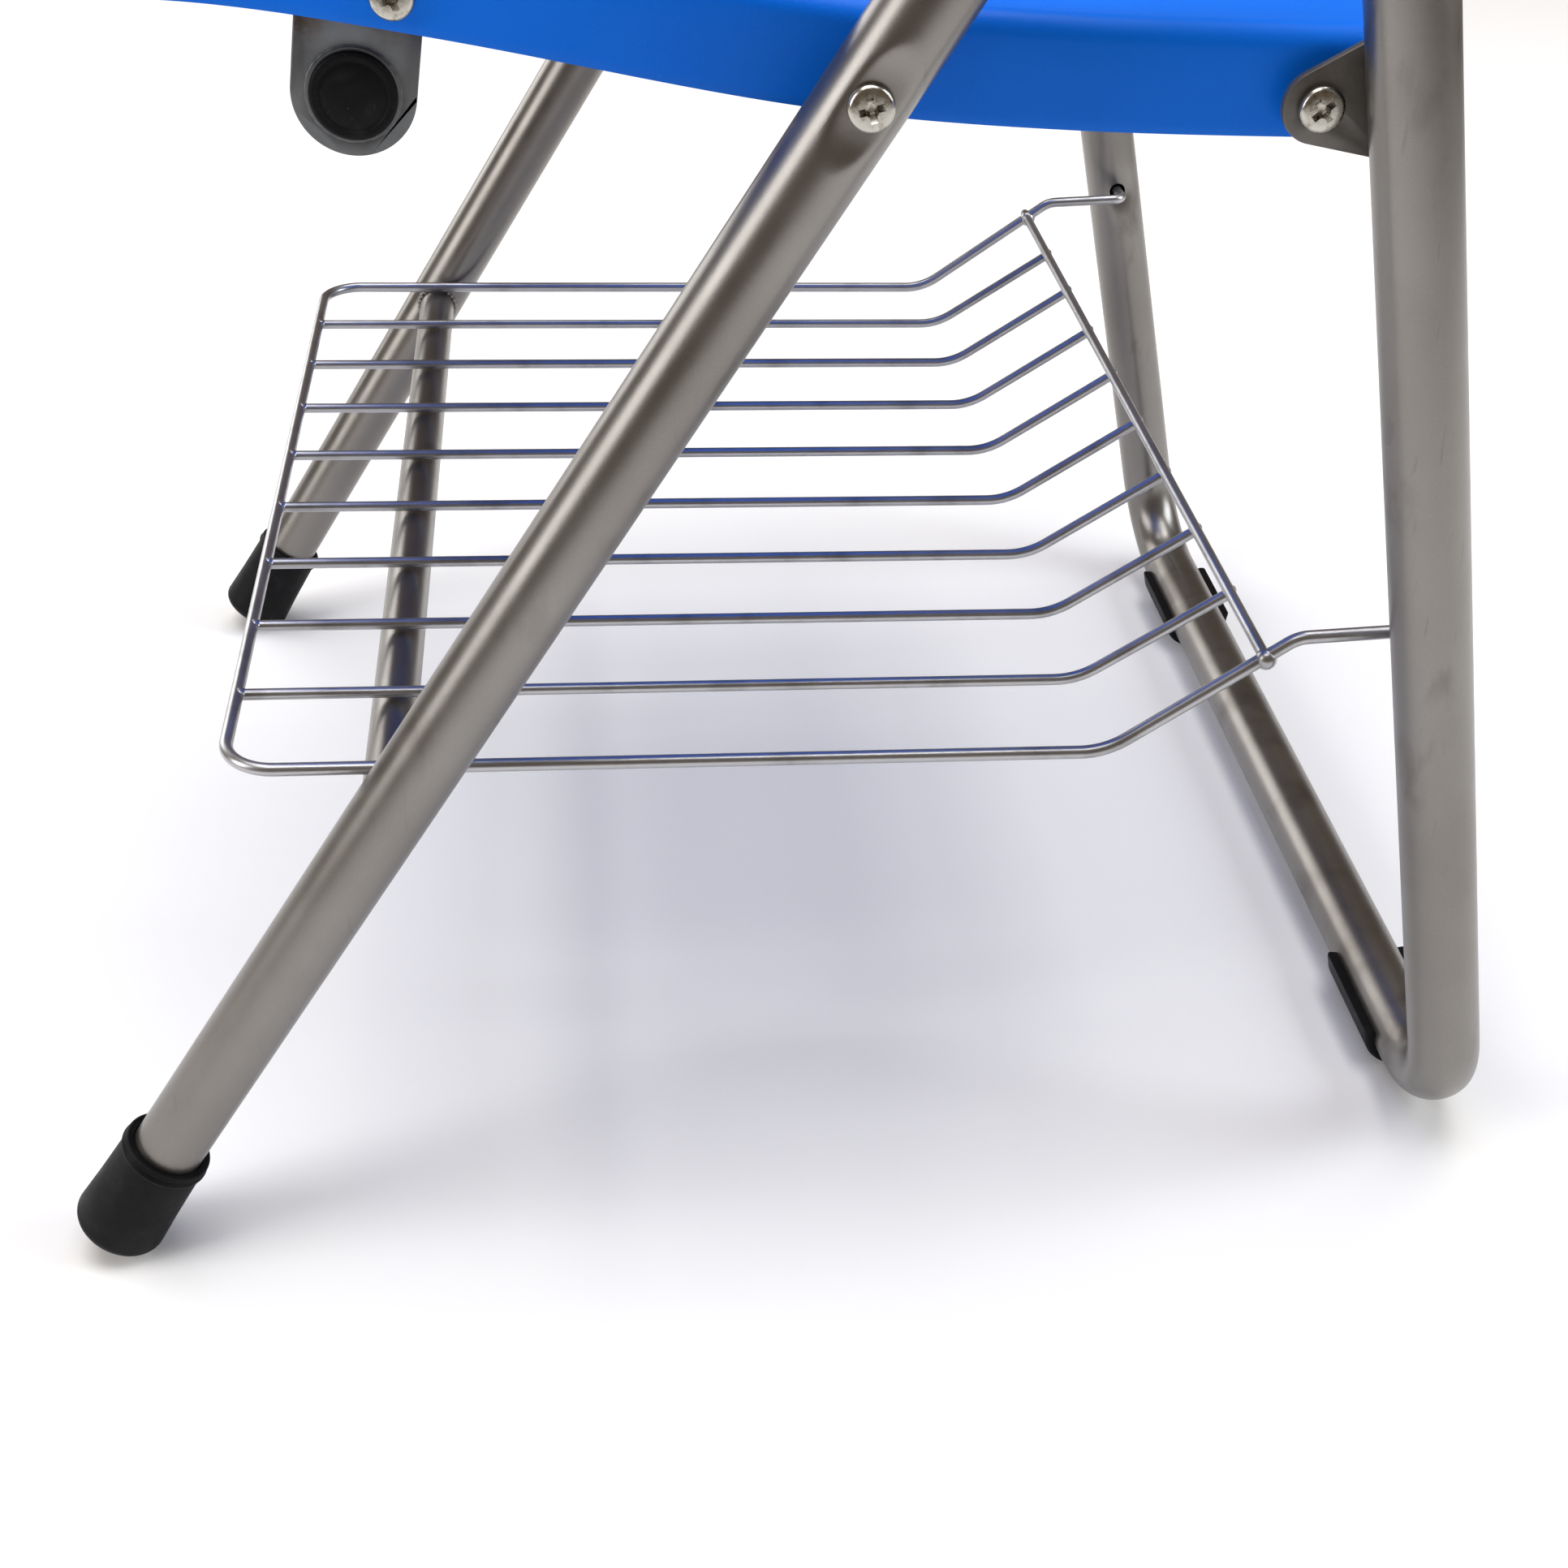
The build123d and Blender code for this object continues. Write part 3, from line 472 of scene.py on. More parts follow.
def black_rubber(name, dust):
    """Matte black rubber or plastic, greyed where it has rubbed."""
    finish = Finish(name, (0.004, 0.004, 0.005), 0.0, 0.52)
    finish.shader.inputs["Specular IOR Level"].default_value = 0.14
    finish.tint((0.012, 0.012, 0.013), finish.times(finish.band(finish.noise(130, 6), 0.54, 0.74), dust))
    finish.tint((0.030, 0.030, 0.031), finish.times(finish.band(finish.noise(1100, 4), 0.66, 0.78), dust))
    finish.roughness(finish.noise(160, 5), 0.40, 0.68)
    finish.bump(finish.noise(1500, 3), 0.00008, 0.5)
    finish.bump(finish.noise(190, 4), 0.00020, 0.3)
    return finish.material


def slate_steel(name, colour, weld_points=(), reach=0.012):
    """Dark grey painted steel, burnt brown round its welds."""
    finish = Finish(name, colour, 0.55, 0.42)
    finish.tint(tuple(c * 0.7 for c in colour), finish.band(finish.noise(70, 5), 0.42, 0.72))
    for point in weld_points:
        burnt = finish.times(finish.band(finish.far_from(point), 0.2 * reach, reach, flip=True),
                             finish.band(finish.noise(260, 5), 0.30, 0.55))
        finish.tint((0.105, 0.068, 0.042), burnt)
    finish.tint((0.34, 0.33, 0.32), finish.times(finish.band(finish.noise(2400, 3), 0.66, 0.78), 0.5))
    finish.roughness(finish.noise(120, 4), 0.36, 0.56)
    finish.bump(finish.noise(700, 4), 0.00010, 0.5)
    return finish.material


def bright_zinc():
    """Bright zinc plate, slightly yellowed, with darker dirty patches spread at random."""
    finish = Finish("bright zinc", (0.50, 0.485, 0.44), 1.0, 0.20)
    finish.tint((0.27, 0.24, 0.19), finish.band(finish.noise(420, 4), 0.50, 0.75))
    finish.roughness(finish.noise(500, 4), 0.15, 0.36)
    finish.bump(finish.noise(1300, 3), 0.00004, 0.5)
    return finish.material


FRAME_PAINT = silver_paint("silver frame paint", 0.35)
REAR_PAINT = silver_paint("rear frame paint", 0.60, darkened_below=(0.018, 0.045))
WIRE = wire_silver()
BLUE = blue_moulding()
RUBBER = black_rubber("ferrule rubber", 0.75)
BLACK = black_rubber("black plastic", 0.45)
PLUG = black_rubber("end plug plastic", 1.0)
LUG_WELD_X, LUG_WELD_Y, LUG_WELD_Z = 0.2062, 0.013, 0.4235
LUG_WELDS = [Vector((side * LUG_WELD_X, CROSS_TUBE.y + y, LUG_WELD_Z))
             for side in (1, -1) for y in (-LUG_WELD_Y, LUG_WELD_Y)]
LUG_STEEL = slate_steel("lug steel", (0.165, 0.175, 0.185), LUG_WELDS, 0.012)
HINGE_STEEL = slate_steel("hinge plate steel", (0.155, 0.145, 0.135))
RAIL_STEEL = slate_steel("rail steel", (0.17, 0.165, 0.16))
ZINC = bright_zinc()

BENT_TUBE, WIRE_ROW, PAIR, RIBS = bent_tube_tree(), wire_row_tree(), pair_tree(), rib_tree()


# ---- front frame
def pressed(distance, flat, fade):
    """How far the press has let the wall rise again at a distance from its middle."""
    return 0 if distance < flat else ((distance - flat) / fade) ** 2


def front_frame():
    """The front legs and back loop: one bent tube, crushed flat under each seat pivot's head."""
    end_drop = 0.0071  # how far the slanted end's low corner hangs below its middle
    back_bend_r, top_bend_r = 0.12, 0.06
    foot_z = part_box("front_frame_tube")[0][2] + end_drop
    kink = on_front_leg(BACK_BEND_Z)
    top = kink + UP_BACK * (BACK_TOP_Z - BACK_BEND_Z) / UP_BACK.z
    points = both_sides([on_front_leg(foot_z), kink, top])
    bends = [0, back_bend_r, top_bend_r, top_bend_r, back_bend_r, 0]
    loop = bent_tube("front_loop", points, bends, TUBE_R, FRAME_PAINT, spacing=0.0022)
    flat_depth, flat_reach, fade = 0.0024, 0.0072, 0.0080
    press_reach, press_oval, lip, lip_reach = 0.045, 0.80, 0.0009, 0.013
    for vertex in loop.data.vertices:
        p = vertex.co
        side = 1 if p.x > 0 else -1
        offset = Vector((0, p.y - SEAT_PIVOT.y, p.z - SEAT_PIVOT.z))
        along = offset.dot(UP_FRONT)
        if abs(along) > press_reach or abs(p.x) < FRONT_X:
            continue
        across = (offset - UP_FRONT * along).length
        distance = hypot(along * press_oval, across)
        limit = FRONT_X + TUBE_R - flat_depth + flat_depth * pressed(distance, flat_reach, fade)
        over = abs(p.x) - limit
        if over > 0:
            p.x = side * (limit + lip * (1 - exp(-over / lip)) * min(1, distance / lip_reach))
    settle(loop, "front_frame", "frame_paint", "front_frame_tube")


def ferrule(side, word):
    """Rubber ferrule: a tapered cup with a thin rim, rounded where it stands."""
    floor_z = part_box(f"foot_cap_{word}")[0][2]
    cap_r, flare_r, length, rounding = 0.0150, 0.0165, 0.044, 0.0045
    sole_hollow, seat_depth = 0.0012, 0.004
    end_z = (flare_r - rounding) * UP_FRONT.y + rounding * (1 - UP_FRONT.z)
    origin = on_front_leg(end_z, side)
    profile = [(0, sole_hollow), (flare_r * 0.52, sole_hollow), (flare_r * 0.60, 0)]
    profile += arc((flare_r - rounding, rounding), rounding, -90, -4, 8)
    profile += [(cap_r + 0.0007, length * 0.45), (cap_r + 0.0001, length - 0.0046)]
    profile += arc((cap_r, length - 0.0034), 0.0010, -60, 60, 4)
    profile += [(cap_r + 0.0002, length - 0.0018)]
    profile += arc((cap_r - 0.0003, length - 0.0008), 0.0009, 0, 100, 4)
    profile += [(TUBE_R + 0.0004, length - 0.0002), (TUBE_R + 0.0002, length - 0.003)]
    profile += [(TUBE_R - 0.001, length - seat_depth), (0, length - seat_depth)]
    piece = turned_piece(f"ferrule_{word}", profile, origin, UP_FRONT, RUBBER, 72)
    for vertex in piece.data.vertices:
        vertex.co.z = max(vertex.co.z, floor_z)
    settle(piece, "front_frame", "foot_rubber", f"foot_cap_{word}")


def crossbar():
    """The round bar under the rack, let into both front legs."""
    let_in, bead_r = 0.004, 0.0013
    inner_x = FRONT_X - TUBE_R
    ends = [CROSSBAR + Vector((side * (inner_x + let_in), 0, 0)) for side, word in SIDES]
    bar = bent_tube("crossbar_tube", ends, [0, 0], CROSSBAR_R, REAR_PAINT, 48, 0.004)
    settle(bar, "crossbar", "frame_paint", "front_crossbar")
    for side, word in SIDES:
        centre = Vector((side * (inner_x + 0.0001), *CROSSBAR.yz))
        bead = ring_bead(f"crossbar_weld_{word}", centre, (1, 0, 0), CROSSBAR_R + 0.0004, bead_r,
                         FRAME_PAINT)
        settle(bead, "front_frame", "frame_paint")


def ring_bead(name, centre, axis, radius, thickness, material):
    """A weld bead round a joint: a ring whose thickness ripples along it."""
    axis, across, other = round_axis(axis)
    around, section = 96, 12
    vertices, faces = [], []
    for i in range(around):
        a = 2 * pi * i / around
        out = across * cos(a) + other * sin(a)
        size = thickness * (0.85 + 0.15 * sin(24 * a) + 0.08 * sin(7 * a + 1))
        for j in range(section):
            b = 2 * pi * j / section
            vertices.append(centre + out * (radius + size * cos(b)) + axis * size * sin(b))
    for i in range(around):
        for j in range(section):
            k, m = (i + 1) % around, (j + 1) % section
            faces.append((i * section + j, k * section + j, k * section + m, i * section + m))
    return mesh_piece(name, vertices, faces, material, 60)


# ---- rear frame
def rear_top_z():
    """Height of the rear legs' axes at their cut tops."""
    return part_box("rear_frame_tube")[1][2] - TUBE_R * sin(radians(REAR_LEAN))


def rear_frame():
    """The rear U: legs and floor bar from one tube, its corners flattened by the bender."""
    crushed = 0.16  # share of the tube's outer half lost in the middle of a bend
    dent_depth, dent_width, dent_reach = 0.0022, 0.0062, 0.02
    hole_r, hole_depth, hole_start = 0.0038, 0.0120, 0.004
    top = on_rear_leg(rear_top_z())
    corner = on_rear_leg(BAR_Z)
    tube = bent_tube("rear_u", both_sides([top, corner]), [0, REAR_CORNER_R, REAR_CORNER_R, 0],
                     TUBE_R, REAR_PAINT, 64, 0.0022)
    centre_x = REAR_X - REAR_CORNER_R
    centre = on_rear_leg(BAR_Z) + UP_REAR * REAR_CORNER_R
    hook_along = (RACK_HOOK - Vector((0, corner.y, corner.z))).dot(UP_REAR)
    for vertex in tube.data.vertices:
        p = vertex.co
        side = 1 if p.x > 0 else -1
        up = (p - centre).dot(UP_REAR)
        out = abs(p.x) - centre_x
        if out > 0 and up < 0:
            radius = hypot(out, up)
            bend_share = sin(2 * atan2(-up, out))
            if radius > REAR_CORNER_R:
                shrink = 1 - crushed * bend_share
                new_radius = REAR_CORNER_R + (radius - REAR_CORNER_R) * shrink
                p.x = side * (centre_x + out * new_radius / radius)
                p += UP_REAR * up * (new_radius / radius - 1)
        along = (p - Vector((p.x, corner.y, corner.z))).dot(UP_REAR) - hook_along
        across = (p - Vector((p.x, corner.y, corner.z)) - UP_REAR * (along + hook_along)).length
        distance = hypot(along * 0.8, across)
        if 0.1 < abs(p.x) < REAR_X and distance < dent_reach:
            dent = dent_depth * exp(-(distance / dent_width) ** 2)
            p.x = side * (abs(p.x) + dent)
    for side in (1, -1):
        inner = Vector((side * (REAR_X - TUBE_R - hole_start), *RACK_HOOK.yz))
        hole = [(0, 0), (hole_r, 0), (hole_r, hole_depth), (0, hole_depth)]
        # the cutter is black plastic and its walls pass to the hole: painted shade inside the hole, whose
        # real walls carry the tube's paint
        cut(tube, turned_piece("hook_hole_painted_shade", hole, inner, (side, 0, 0), BLACK, 32))
    settle(tube, "rear_frame", "frame_paint", "rear_frame_tube")


def glide(word):
    """Half-round glide clipped over the floor bar, with a lip along each edge and a sole flattened by
    wear.
    """
    low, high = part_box(f"floor_glide_{word}")
    wall_in, wall_out, wrap, lip = TUBE_R + 0.0001, 0.0158, 9.0, 0.0008
    steps, rounding, lip_steps = 40, 0.0016, 1.6
    sole_z, sole_rise = 0.00002, 0.0004
    start, stop = radians(180 - wrap), radians(360 + wrap)
    rings = [(0, 1.0), (0.0004, 0.45), (0.0010, 0.15), (rounding, 0)]
    places = [(low[0] + x, inset) for x, inset in rings]
    places += [(low[0] + (high[0] - low[0]) * share, 0) for share in (0.25, 0.5, 0.75)]
    places += [(high[0] - x, inset) for x, inset in reversed(rings)]
    vertices, faces = [], []
    for x, inset in places:
        for i in range(steps + 1):
            a = start + (stop - start) * i / steps
            edge = exp(-(min(i, steps - i) / lip_steps) ** 2)
            radius = wall_out - rounding * inset + lip * edge
            z = max(BAR_Z + radius * sin(a), sole_z + sole_rise * inset)
            vertices.append((x, BAR_Y + radius * cos(a), z))
        for i in range(steps, -1, -1):
            a = start + (stop - start) * i / steps
            vertices.append((x, BAR_Y + wall_in * cos(a), BAR_Z + wall_in * sin(a)))
    loop = 2 * (steps + 1)
    for r in range(len(places) - 1):
        for i in range(loop):
            j = (i + 1) % loop
            faces.append((r * loop + i, r * loop + j, (r + 1) * loop + j, (r + 1) * loop + i))
    for base in (0, (len(places) - 1) * loop):
        for i in range(steps):
            faces.append((base + i, base + i + 1, base + loop - 2 - i, base + loop - 1 - i))
    piece = mesh_piece(f"glide_{word}", vertices, faces, BLACK, 50)
    solid = bmesh.new()
    solid.from_mesh(piece.data)
    bmesh.ops.recalc_face_normals(solid, faces=solid.faces)
    solid.to_mesh(piece.data)
    solid.free()
    settle(piece, "rear_frame", "black_plastic", f"floor_glide_{word}")


def leg_plug(side, word):
    """Domed plug in a rear leg's top end."""
    depth, stem_r, rim, rounding = 0.007, TUBE_R - 0.0015, 0.0006, 0.0014
    profile = [(0, -depth), (stem_r, -depth), (stem_r, 0), (TUBE_R, 0), (TUBE_R, rim)]
    profile += arc((TUBE_R - rounding, rim), rounding, 10, 90, 5)
    profile += [(TUBE_R * 0.5, 0.0024), (0, 0.0026)]
    piece = turned_piece(f"leg_plug_{word}", profile, on_rear_leg(rear_top_z(), side), UP_REAR, BLACK, 56)
    settle(piece, "rear_frame", "black_plastic", f"leg_top_plug_{word}")


# ---- fasteners
def cross_recess_bolt(name, radius, height, shank_r, length):
    """A pan-head bolt along +X with a cross recess; the underside of its head is at x = 0."""
    crown, middle, along_x = 0.62 * radius, Vector((0, 0, 0)), (1, 0, 0)
    profile = [(0, -length), (shank_r - 0.0004, -length), (shank_r, 0.0006 - length), (shank_r, 0)]
    profile += [(radius * 0.94, 0), (radius, 0.0003), (radius, 0.22 * height)]
    profile += arc((radius - 0.55 * height, 0.40 * height), 0.55 * height, 8, 78, 6)
    profile += [(crown * 0.9, 0.985 * height), (crown * 0.4, height), (0, height)]
    head = turned_piece(name, profile, middle, along_x, ZINC, 48)
    wing, slot = 0.60 * radius, 0.165 * radius
    bottom, above = height - 0.80 * height, height + 0.001
    for turn in (0, 90):
        c, s = cos(radians(turn)), sin(radians(turn))
        vertices = []
        for x, long, thin in ((bottom, 0.42 * wing, 0.55 * slot), (above, wing * 1.12, slot * 1.1)):
            for a, b in ((long, thin), (-long, thin), (-long, -thin), (long, -thin)):
                vertices.append((x, a * c - b * s, a * s + b * c))
        faces = [(3, 2, 1, 0), (4, 5, 6, 7)]
        faces += [(i, (i + 1) % 4, 4 + (i + 1) % 4, 4 + i) for i in range(4)]
        cut(head, mesh_piece("recess_wing", vertices, faces, ZINC))
    centre = [(0, bottom - 0.0002), (slot * 1.1, bottom), (slot * 2.1, above), (0, above)]
    cut(head, turned_piece("recess_centre", centre, middle, along_x, ZINC, 24))
    return head


def fastener_pair(name, head, place, spin, body, *nodes):
    """The head at its place on the left, and turned round on the right."""
    values = {"Place": tuple(place), "Spin": radians(spin), "Material": ZINC}
    pair = grow(name, PAIR, head.data.copy(), values, TURNED_ANGLE)
    settle(pair, body, "zinc_fastener", *nodes)


def fasteners():
    """The bolts, screws and pins that show; each row gives one pair's sizes, place, spin and body."""
    low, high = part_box("guide_pins")
    pin_height, bolt_height = 0.0036, 0.0032
    pin = (high[0] - pin_height, (low[1] + high[1]) / 2, (low[2] + high[2]) / 2)
    pivot = (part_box("seat_pivot_bolts")[1][0] - bolt_height, *SEAT_PIVOT.yz)
    rear = (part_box("rear_pivot_bolts")[1][0] - bolt_height, *REAR_PIVOT.yz)
    # head radius, head height, shank radius, shank length
    pairs = {"seat_pivot_bolts": (0.0064, bolt_height, 0.003, 0.0351, pivot, 12, "front_frame"),
             "rear_pivot_bolts": (0.0064, bolt_height, 0.003, 0.0191, rear, 38, "seat"),
             "seat_skirt_screws": (0.0060, 0.0030, 0.0024, 0.0110, SKIRT_SCREW, 20, "seat"),
             "guide_pins": (0.0070, pin_height, 0.004, 0.0373, pin, 31, "rear_frame")}
    for node, (radius, height, shank_r, length, place, spin, body) in pairs.items():
        bolt = cross_recess_bolt(node + "_left", radius, height, shank_r, length)
        fastener_pair(node + "_finished", bolt, place, spin, body, node)
        bpy.data.objects.remove(bolt)


# ---- seat and back
def seat_edge(y):
    """Height of the skirt's lower edge: a smooth curve through its few heights."""
    points = SEAT_EDGE
    i = max(k for k in range(len(points) - 1) if points[k][0] <= y or k == 0)
    slopes = []
    for k in (i, i + 1):
        before, after = points[max(k - 1, 0)], points[min(k + 1, len(points) - 1)]
        slopes.append((after[1] - before[1]) / (after[0] - before[0]))
    (y0, z0), (y1, z1) = points[i], points[i + 1]
    width = y1 - y0
    t = (y - y0) / width
    keep = (2 * t**3 - 3 * t**2 + 1) * z0 + (t**3 - 2 * t**2 + t) * width * slopes[0]
    return keep + (3 * t**2 - 2 * t**3) * z1 + (t**3 - t**2) * width * slopes[1]


def rounded_outline(half, low, high, corner_low, corner_high, steps=14, run=0.006):
    """A rounded rectangle as points with their outward directions, run metres apart."""
    corners = [(half - corner_low, low + corner_low, corner_low, -90),
               (half - corner_high, high - corner_high, corner_high, 0),
               (-half + corner_high, high - corner_high, corner_high, 90),
               (-half + corner_low, low + corner_low, corner_low, 180)]
    points = []
    for index, (cx, cy, radius, start) in enumerate(corners):
        for i in range(steps + 1):
            a = radians(start + 90 * i / steps)
            points.append((cx + radius * cos(a), cy + radius * sin(a), cos(a), sin(a)))
        nx, ny, nr, nstart = corners[(index + 1) % 4]
        a = radians(nstart)
        goal = (nx + nr * cos(a), ny + nr * sin(a))
        here = points[-1]
        count = int(hypot(goal[0] - here[0], goal[1] - here[1]) / run)
        for i in range(1, count):
            s = i / count
            points.append((here[0] + (goal[0] - here[0]) * s, here[1] + (goal[1] - here[1]) * s,
                           cos(a), sin(a)))
    return points


def lofted_shell(name, rings, material, wall):
    """A shell through rings of points, closed over its last ring, with a wall inside it."""
    rim_rounding = 0.0007
    count = len(rings[0])
    vertices = [p for ring in rings for p in ring]
    middle = sum(rings[-1], Vector()) / count
    vertices.append(middle)
    faces = []
    for r in range(len(rings) - 1):
        for i in range(count):
            j = (i + 1) % count
            faces.append((r * count + i, r * count + j, (r + 1) * count + j, (r + 1) * count + i))
    last = (len(rings) - 1) * count
    faces += [(last + i, last + (i + 1) % count, len(vertices) - 1) for i in range(count)]
    mesh = bpy.data.meshes.new(name)
    mesh.from_pydata([tuple(v) for v in vertices], [], faces)
    mesh.materials.append(material)
    piece = link(name, mesh)
    thick = piece.modifiers.new("wall", "SOLIDIFY")
    thick.thickness, thick.offset = wall, -1
    edge = piece.modifiers.new("rim", "BEVEL")
    edge.width, edge.segments, edge.limit_method = rim_rounding, 2, "ANGLE"
    edge.angle_limit = radians(50)
    return plain(piece, PANEL_ANGLE)


# how far out from the middle each inner ring of a shell lies
INNER_SHARES = (0.985, 0.96, 0.92, 0.86, 0.78, 0.68, 0.57, 0.45, 0.33, 0.21, 0.10, 0.03)


def seat():
    """Saddle-shaped seat: a skirt all round, a waterfall front and a shallow dish."""
    front_r, rear_r, side_r = 0.020, 0.010, 0.0065
    front_corner_r, rear_corner_r = 0.022, 0.012
    dish_depth, dish_half_length = 0.0075, 0.189
    outline = rounded_outline(SEAT_HALF, SEAT_FRONT, SEAT_REAR, front_corner_r, rear_corner_r)

    def rounding(out_y):
        """Radius of the top edge: widest in front, least at the sides."""
        if out_y < 0:
            return side_r + (front_r - side_r) * out_y**2
        return side_r + (rear_r - side_r) * out_y**2

    rings = []
    for share in (0.0, 0.12, 0.35, 0.65, 1.0):
        ring = []
        for x, y, out_x, out_y in outline:
            low = seat_edge(y)
            top = low + SEAT_SKIRT - rounding(out_y)
            ring.append(Vector((x, y, low + (top - low) * share)))
        rings.append(ring)
    for i in range(1, EDGE_STEPS + 1):
        a = radians(90 * i / EDGE_STEPS)
        ring = []
        for x, y, out_x, out_y in outline:
            r = rounding(out_y)
            inset = r * (1 - cos(a))
            ring.append(Vector((x - out_x * inset, y - out_y * inset,
                                seat_edge(y) + SEAT_SKIRT - r * (1 - sin(a)))))
        rings.append(ring)
    rim = rings[-1]
    centre_y = (SEAT_FRONT + SEAT_REAR) / 2
    for share in INNER_SHARES:
        ring = []
        for p in rim:
            x, y = p.x * share, centre_y + (p.y - centre_y) * share
            dish = dish_depth * (1 - (x / SEAT_HALF) ** 2) * (1 - ((y - centre_y) / dish_half_length) ** 2)
            ring.append(Vector((x, y, seat_edge(y) + SEAT_SKIRT - dish)))
        rings.append(ring)
    piece = lofted_shell("seat_moulding", rings, BLUE, SEAT_WALL)
    settle(piece, "seat", "blue_plastic", "seat_shell")


def back():
    """Bowed back panel with a skirt that wraps the tube, open behind and below."""
    low, high, bottom_corner_r, top_corner_r, edge_r = -0.004, 0.150, 0.012, 0.070, 0.008
    middle_out, side_out, behind, hollow = 0.0165, 0.026, -0.013, 0.0025
    outline = rounded_outline(BACK_HALF, low, high, bottom_corner_r, top_corner_r)
    kink = Vector((0, on_front_leg(BACK_BEND_Z).y, BACK_BEND_Z))
    forwards = Vector((0, -UP_BACK.z, UP_BACK.y))

    def place(x, up, out):
        """A point from its distances across, up the back and out of its plane."""
        return Vector((x, 0, 0)) + kink + UP_BACK * up + forwards * out

    def face_out(x, up):
        """How far the front face stands out: bowed across and slightly hollow."""
        bow = side_out - middle_out
        dish = hollow * sin(pi * min(1, max(0, (up - low) / (high - low))))
        return side_out - bow * (1 - (x / BACK_HALF) ** 2) - dish

    rings = []
    for share in (0.0, 0.15, 0.45, 0.75, 1.0):
        rings.append([place(x, up, behind + (side_out - edge_r - behind) * share
                            - (side_out - face_out(x, up)) * share) for x, up, _, _ in outline])
    for i in range(1, EDGE_STEPS + 1):
        a = radians(90 * i / EDGE_STEPS)
        inset, drop = edge_r * (1 - cos(a)), edge_r * (1 - sin(a))
        rings.append([place(x - nx * inset, up - ny * inset, face_out(x, up) - drop)
                      for x, up, nx, ny in outline])
    centre_up = (low + high) / 2
    for share in INNER_SHARES:
        ring = []
        for x, up, nx, ny in outline:
            px = (x - nx * edge_r) * share
            pu = centre_up + (up - ny * edge_r - centre_up) * share
            ring.append(place(px, pu, face_out(px, pu)))
        rings.append(ring)
    piece = lofted_shell("back_moulding", rings, BLUE, BACK_WALL)
    settle(piece, "front_frame", "blue_plastic", "backrest_shell")


def cross_tube():
    """Tube across the seat's front, its ends in the lugs and closed with plugs."""
    depth, stem_r, bead_sink, bead_r = 0.004, TUBE_R - 0.0016, 0.0003, 0.0007
    ends = [CROSS_TUBE + Vector((side * CROSS_TUBE_X, 0, 0)) for side, word in SIDES]
    tube = bent_tube("seat_cross_bar", ends, [0, 0], TUBE_R, LUG_STEEL, 64, 0.006)
    settle(tube, "seat", "dark_steel", "seat_cross_tube")
    for (side, word), origin in zip(SIDES, ends):
        profile = [(0, -depth), (stem_r, -depth), (stem_r, 0), (TUBE_R - 0.0007, 0.0001)]
        profile += arc((TUBE_R - 0.0019, 0.0007), 0.0012, 0, 90, 5)
        profile += [(TUBE_R - 0.0030, 0.0018), (TUBE_R - 0.0034, 0.0014), (TUBE_R - 0.0040, 0.0014),
                    (TUBE_R - 0.0046, 0.0017), (0.003, 0.0018), (0, 0.0018)]
        plug = turned_piece(f"end_plug_{word}", profile, origin, (side, 0, 0), PLUG, 64)
        settle(plug, "seat", "black_plastic", f"cross_tube_plug_{word}")
        lug_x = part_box(f"cross_tube_lug_{word}")[1 if side > 0 else 0][0]
        centre = Vector((lug_x, *CROSS_TUBE.yz)) - Vector((side * bead_sink, 0, 0))
        bead = ring_bead(f"lug_weld_{word}", centre, (1, 0, 0), TUBE_R, bead_r, LUG_STEEL)
        settle(bead, "seat", "dark_steel")


def seat_ribs():
    """Ribs moulded under the seat between its rails."""
    spacing, rib_count, rib_drop = 0.030, 10, 0.0045
    rib_length, rib_width, first_rib, depth = 0.36, 0.0022, 0.035, 0.0075
    tie_from, tie_to = 0.085, 0.145  # the rear tie runs here in place of a rib
    points = []
    for i in range(rib_count):
        y = SEAT_FRONT + first_rib + spacing * i
        if not tie_from < y < tie_to:
            points.append(Vector((0, y, seat_edge(y) + SEAT_SKIRT - SEAT_WALL - depth)))
    ribs = grow("seat_under_ribs", RIBS, path_mesh(points, [0.0] * len(points)),
                {"Rib Size": (rib_length, rib_width, 2 * rib_drop), "Material": BLUE})
    settle(ribs, "seat", "blue_plastic")


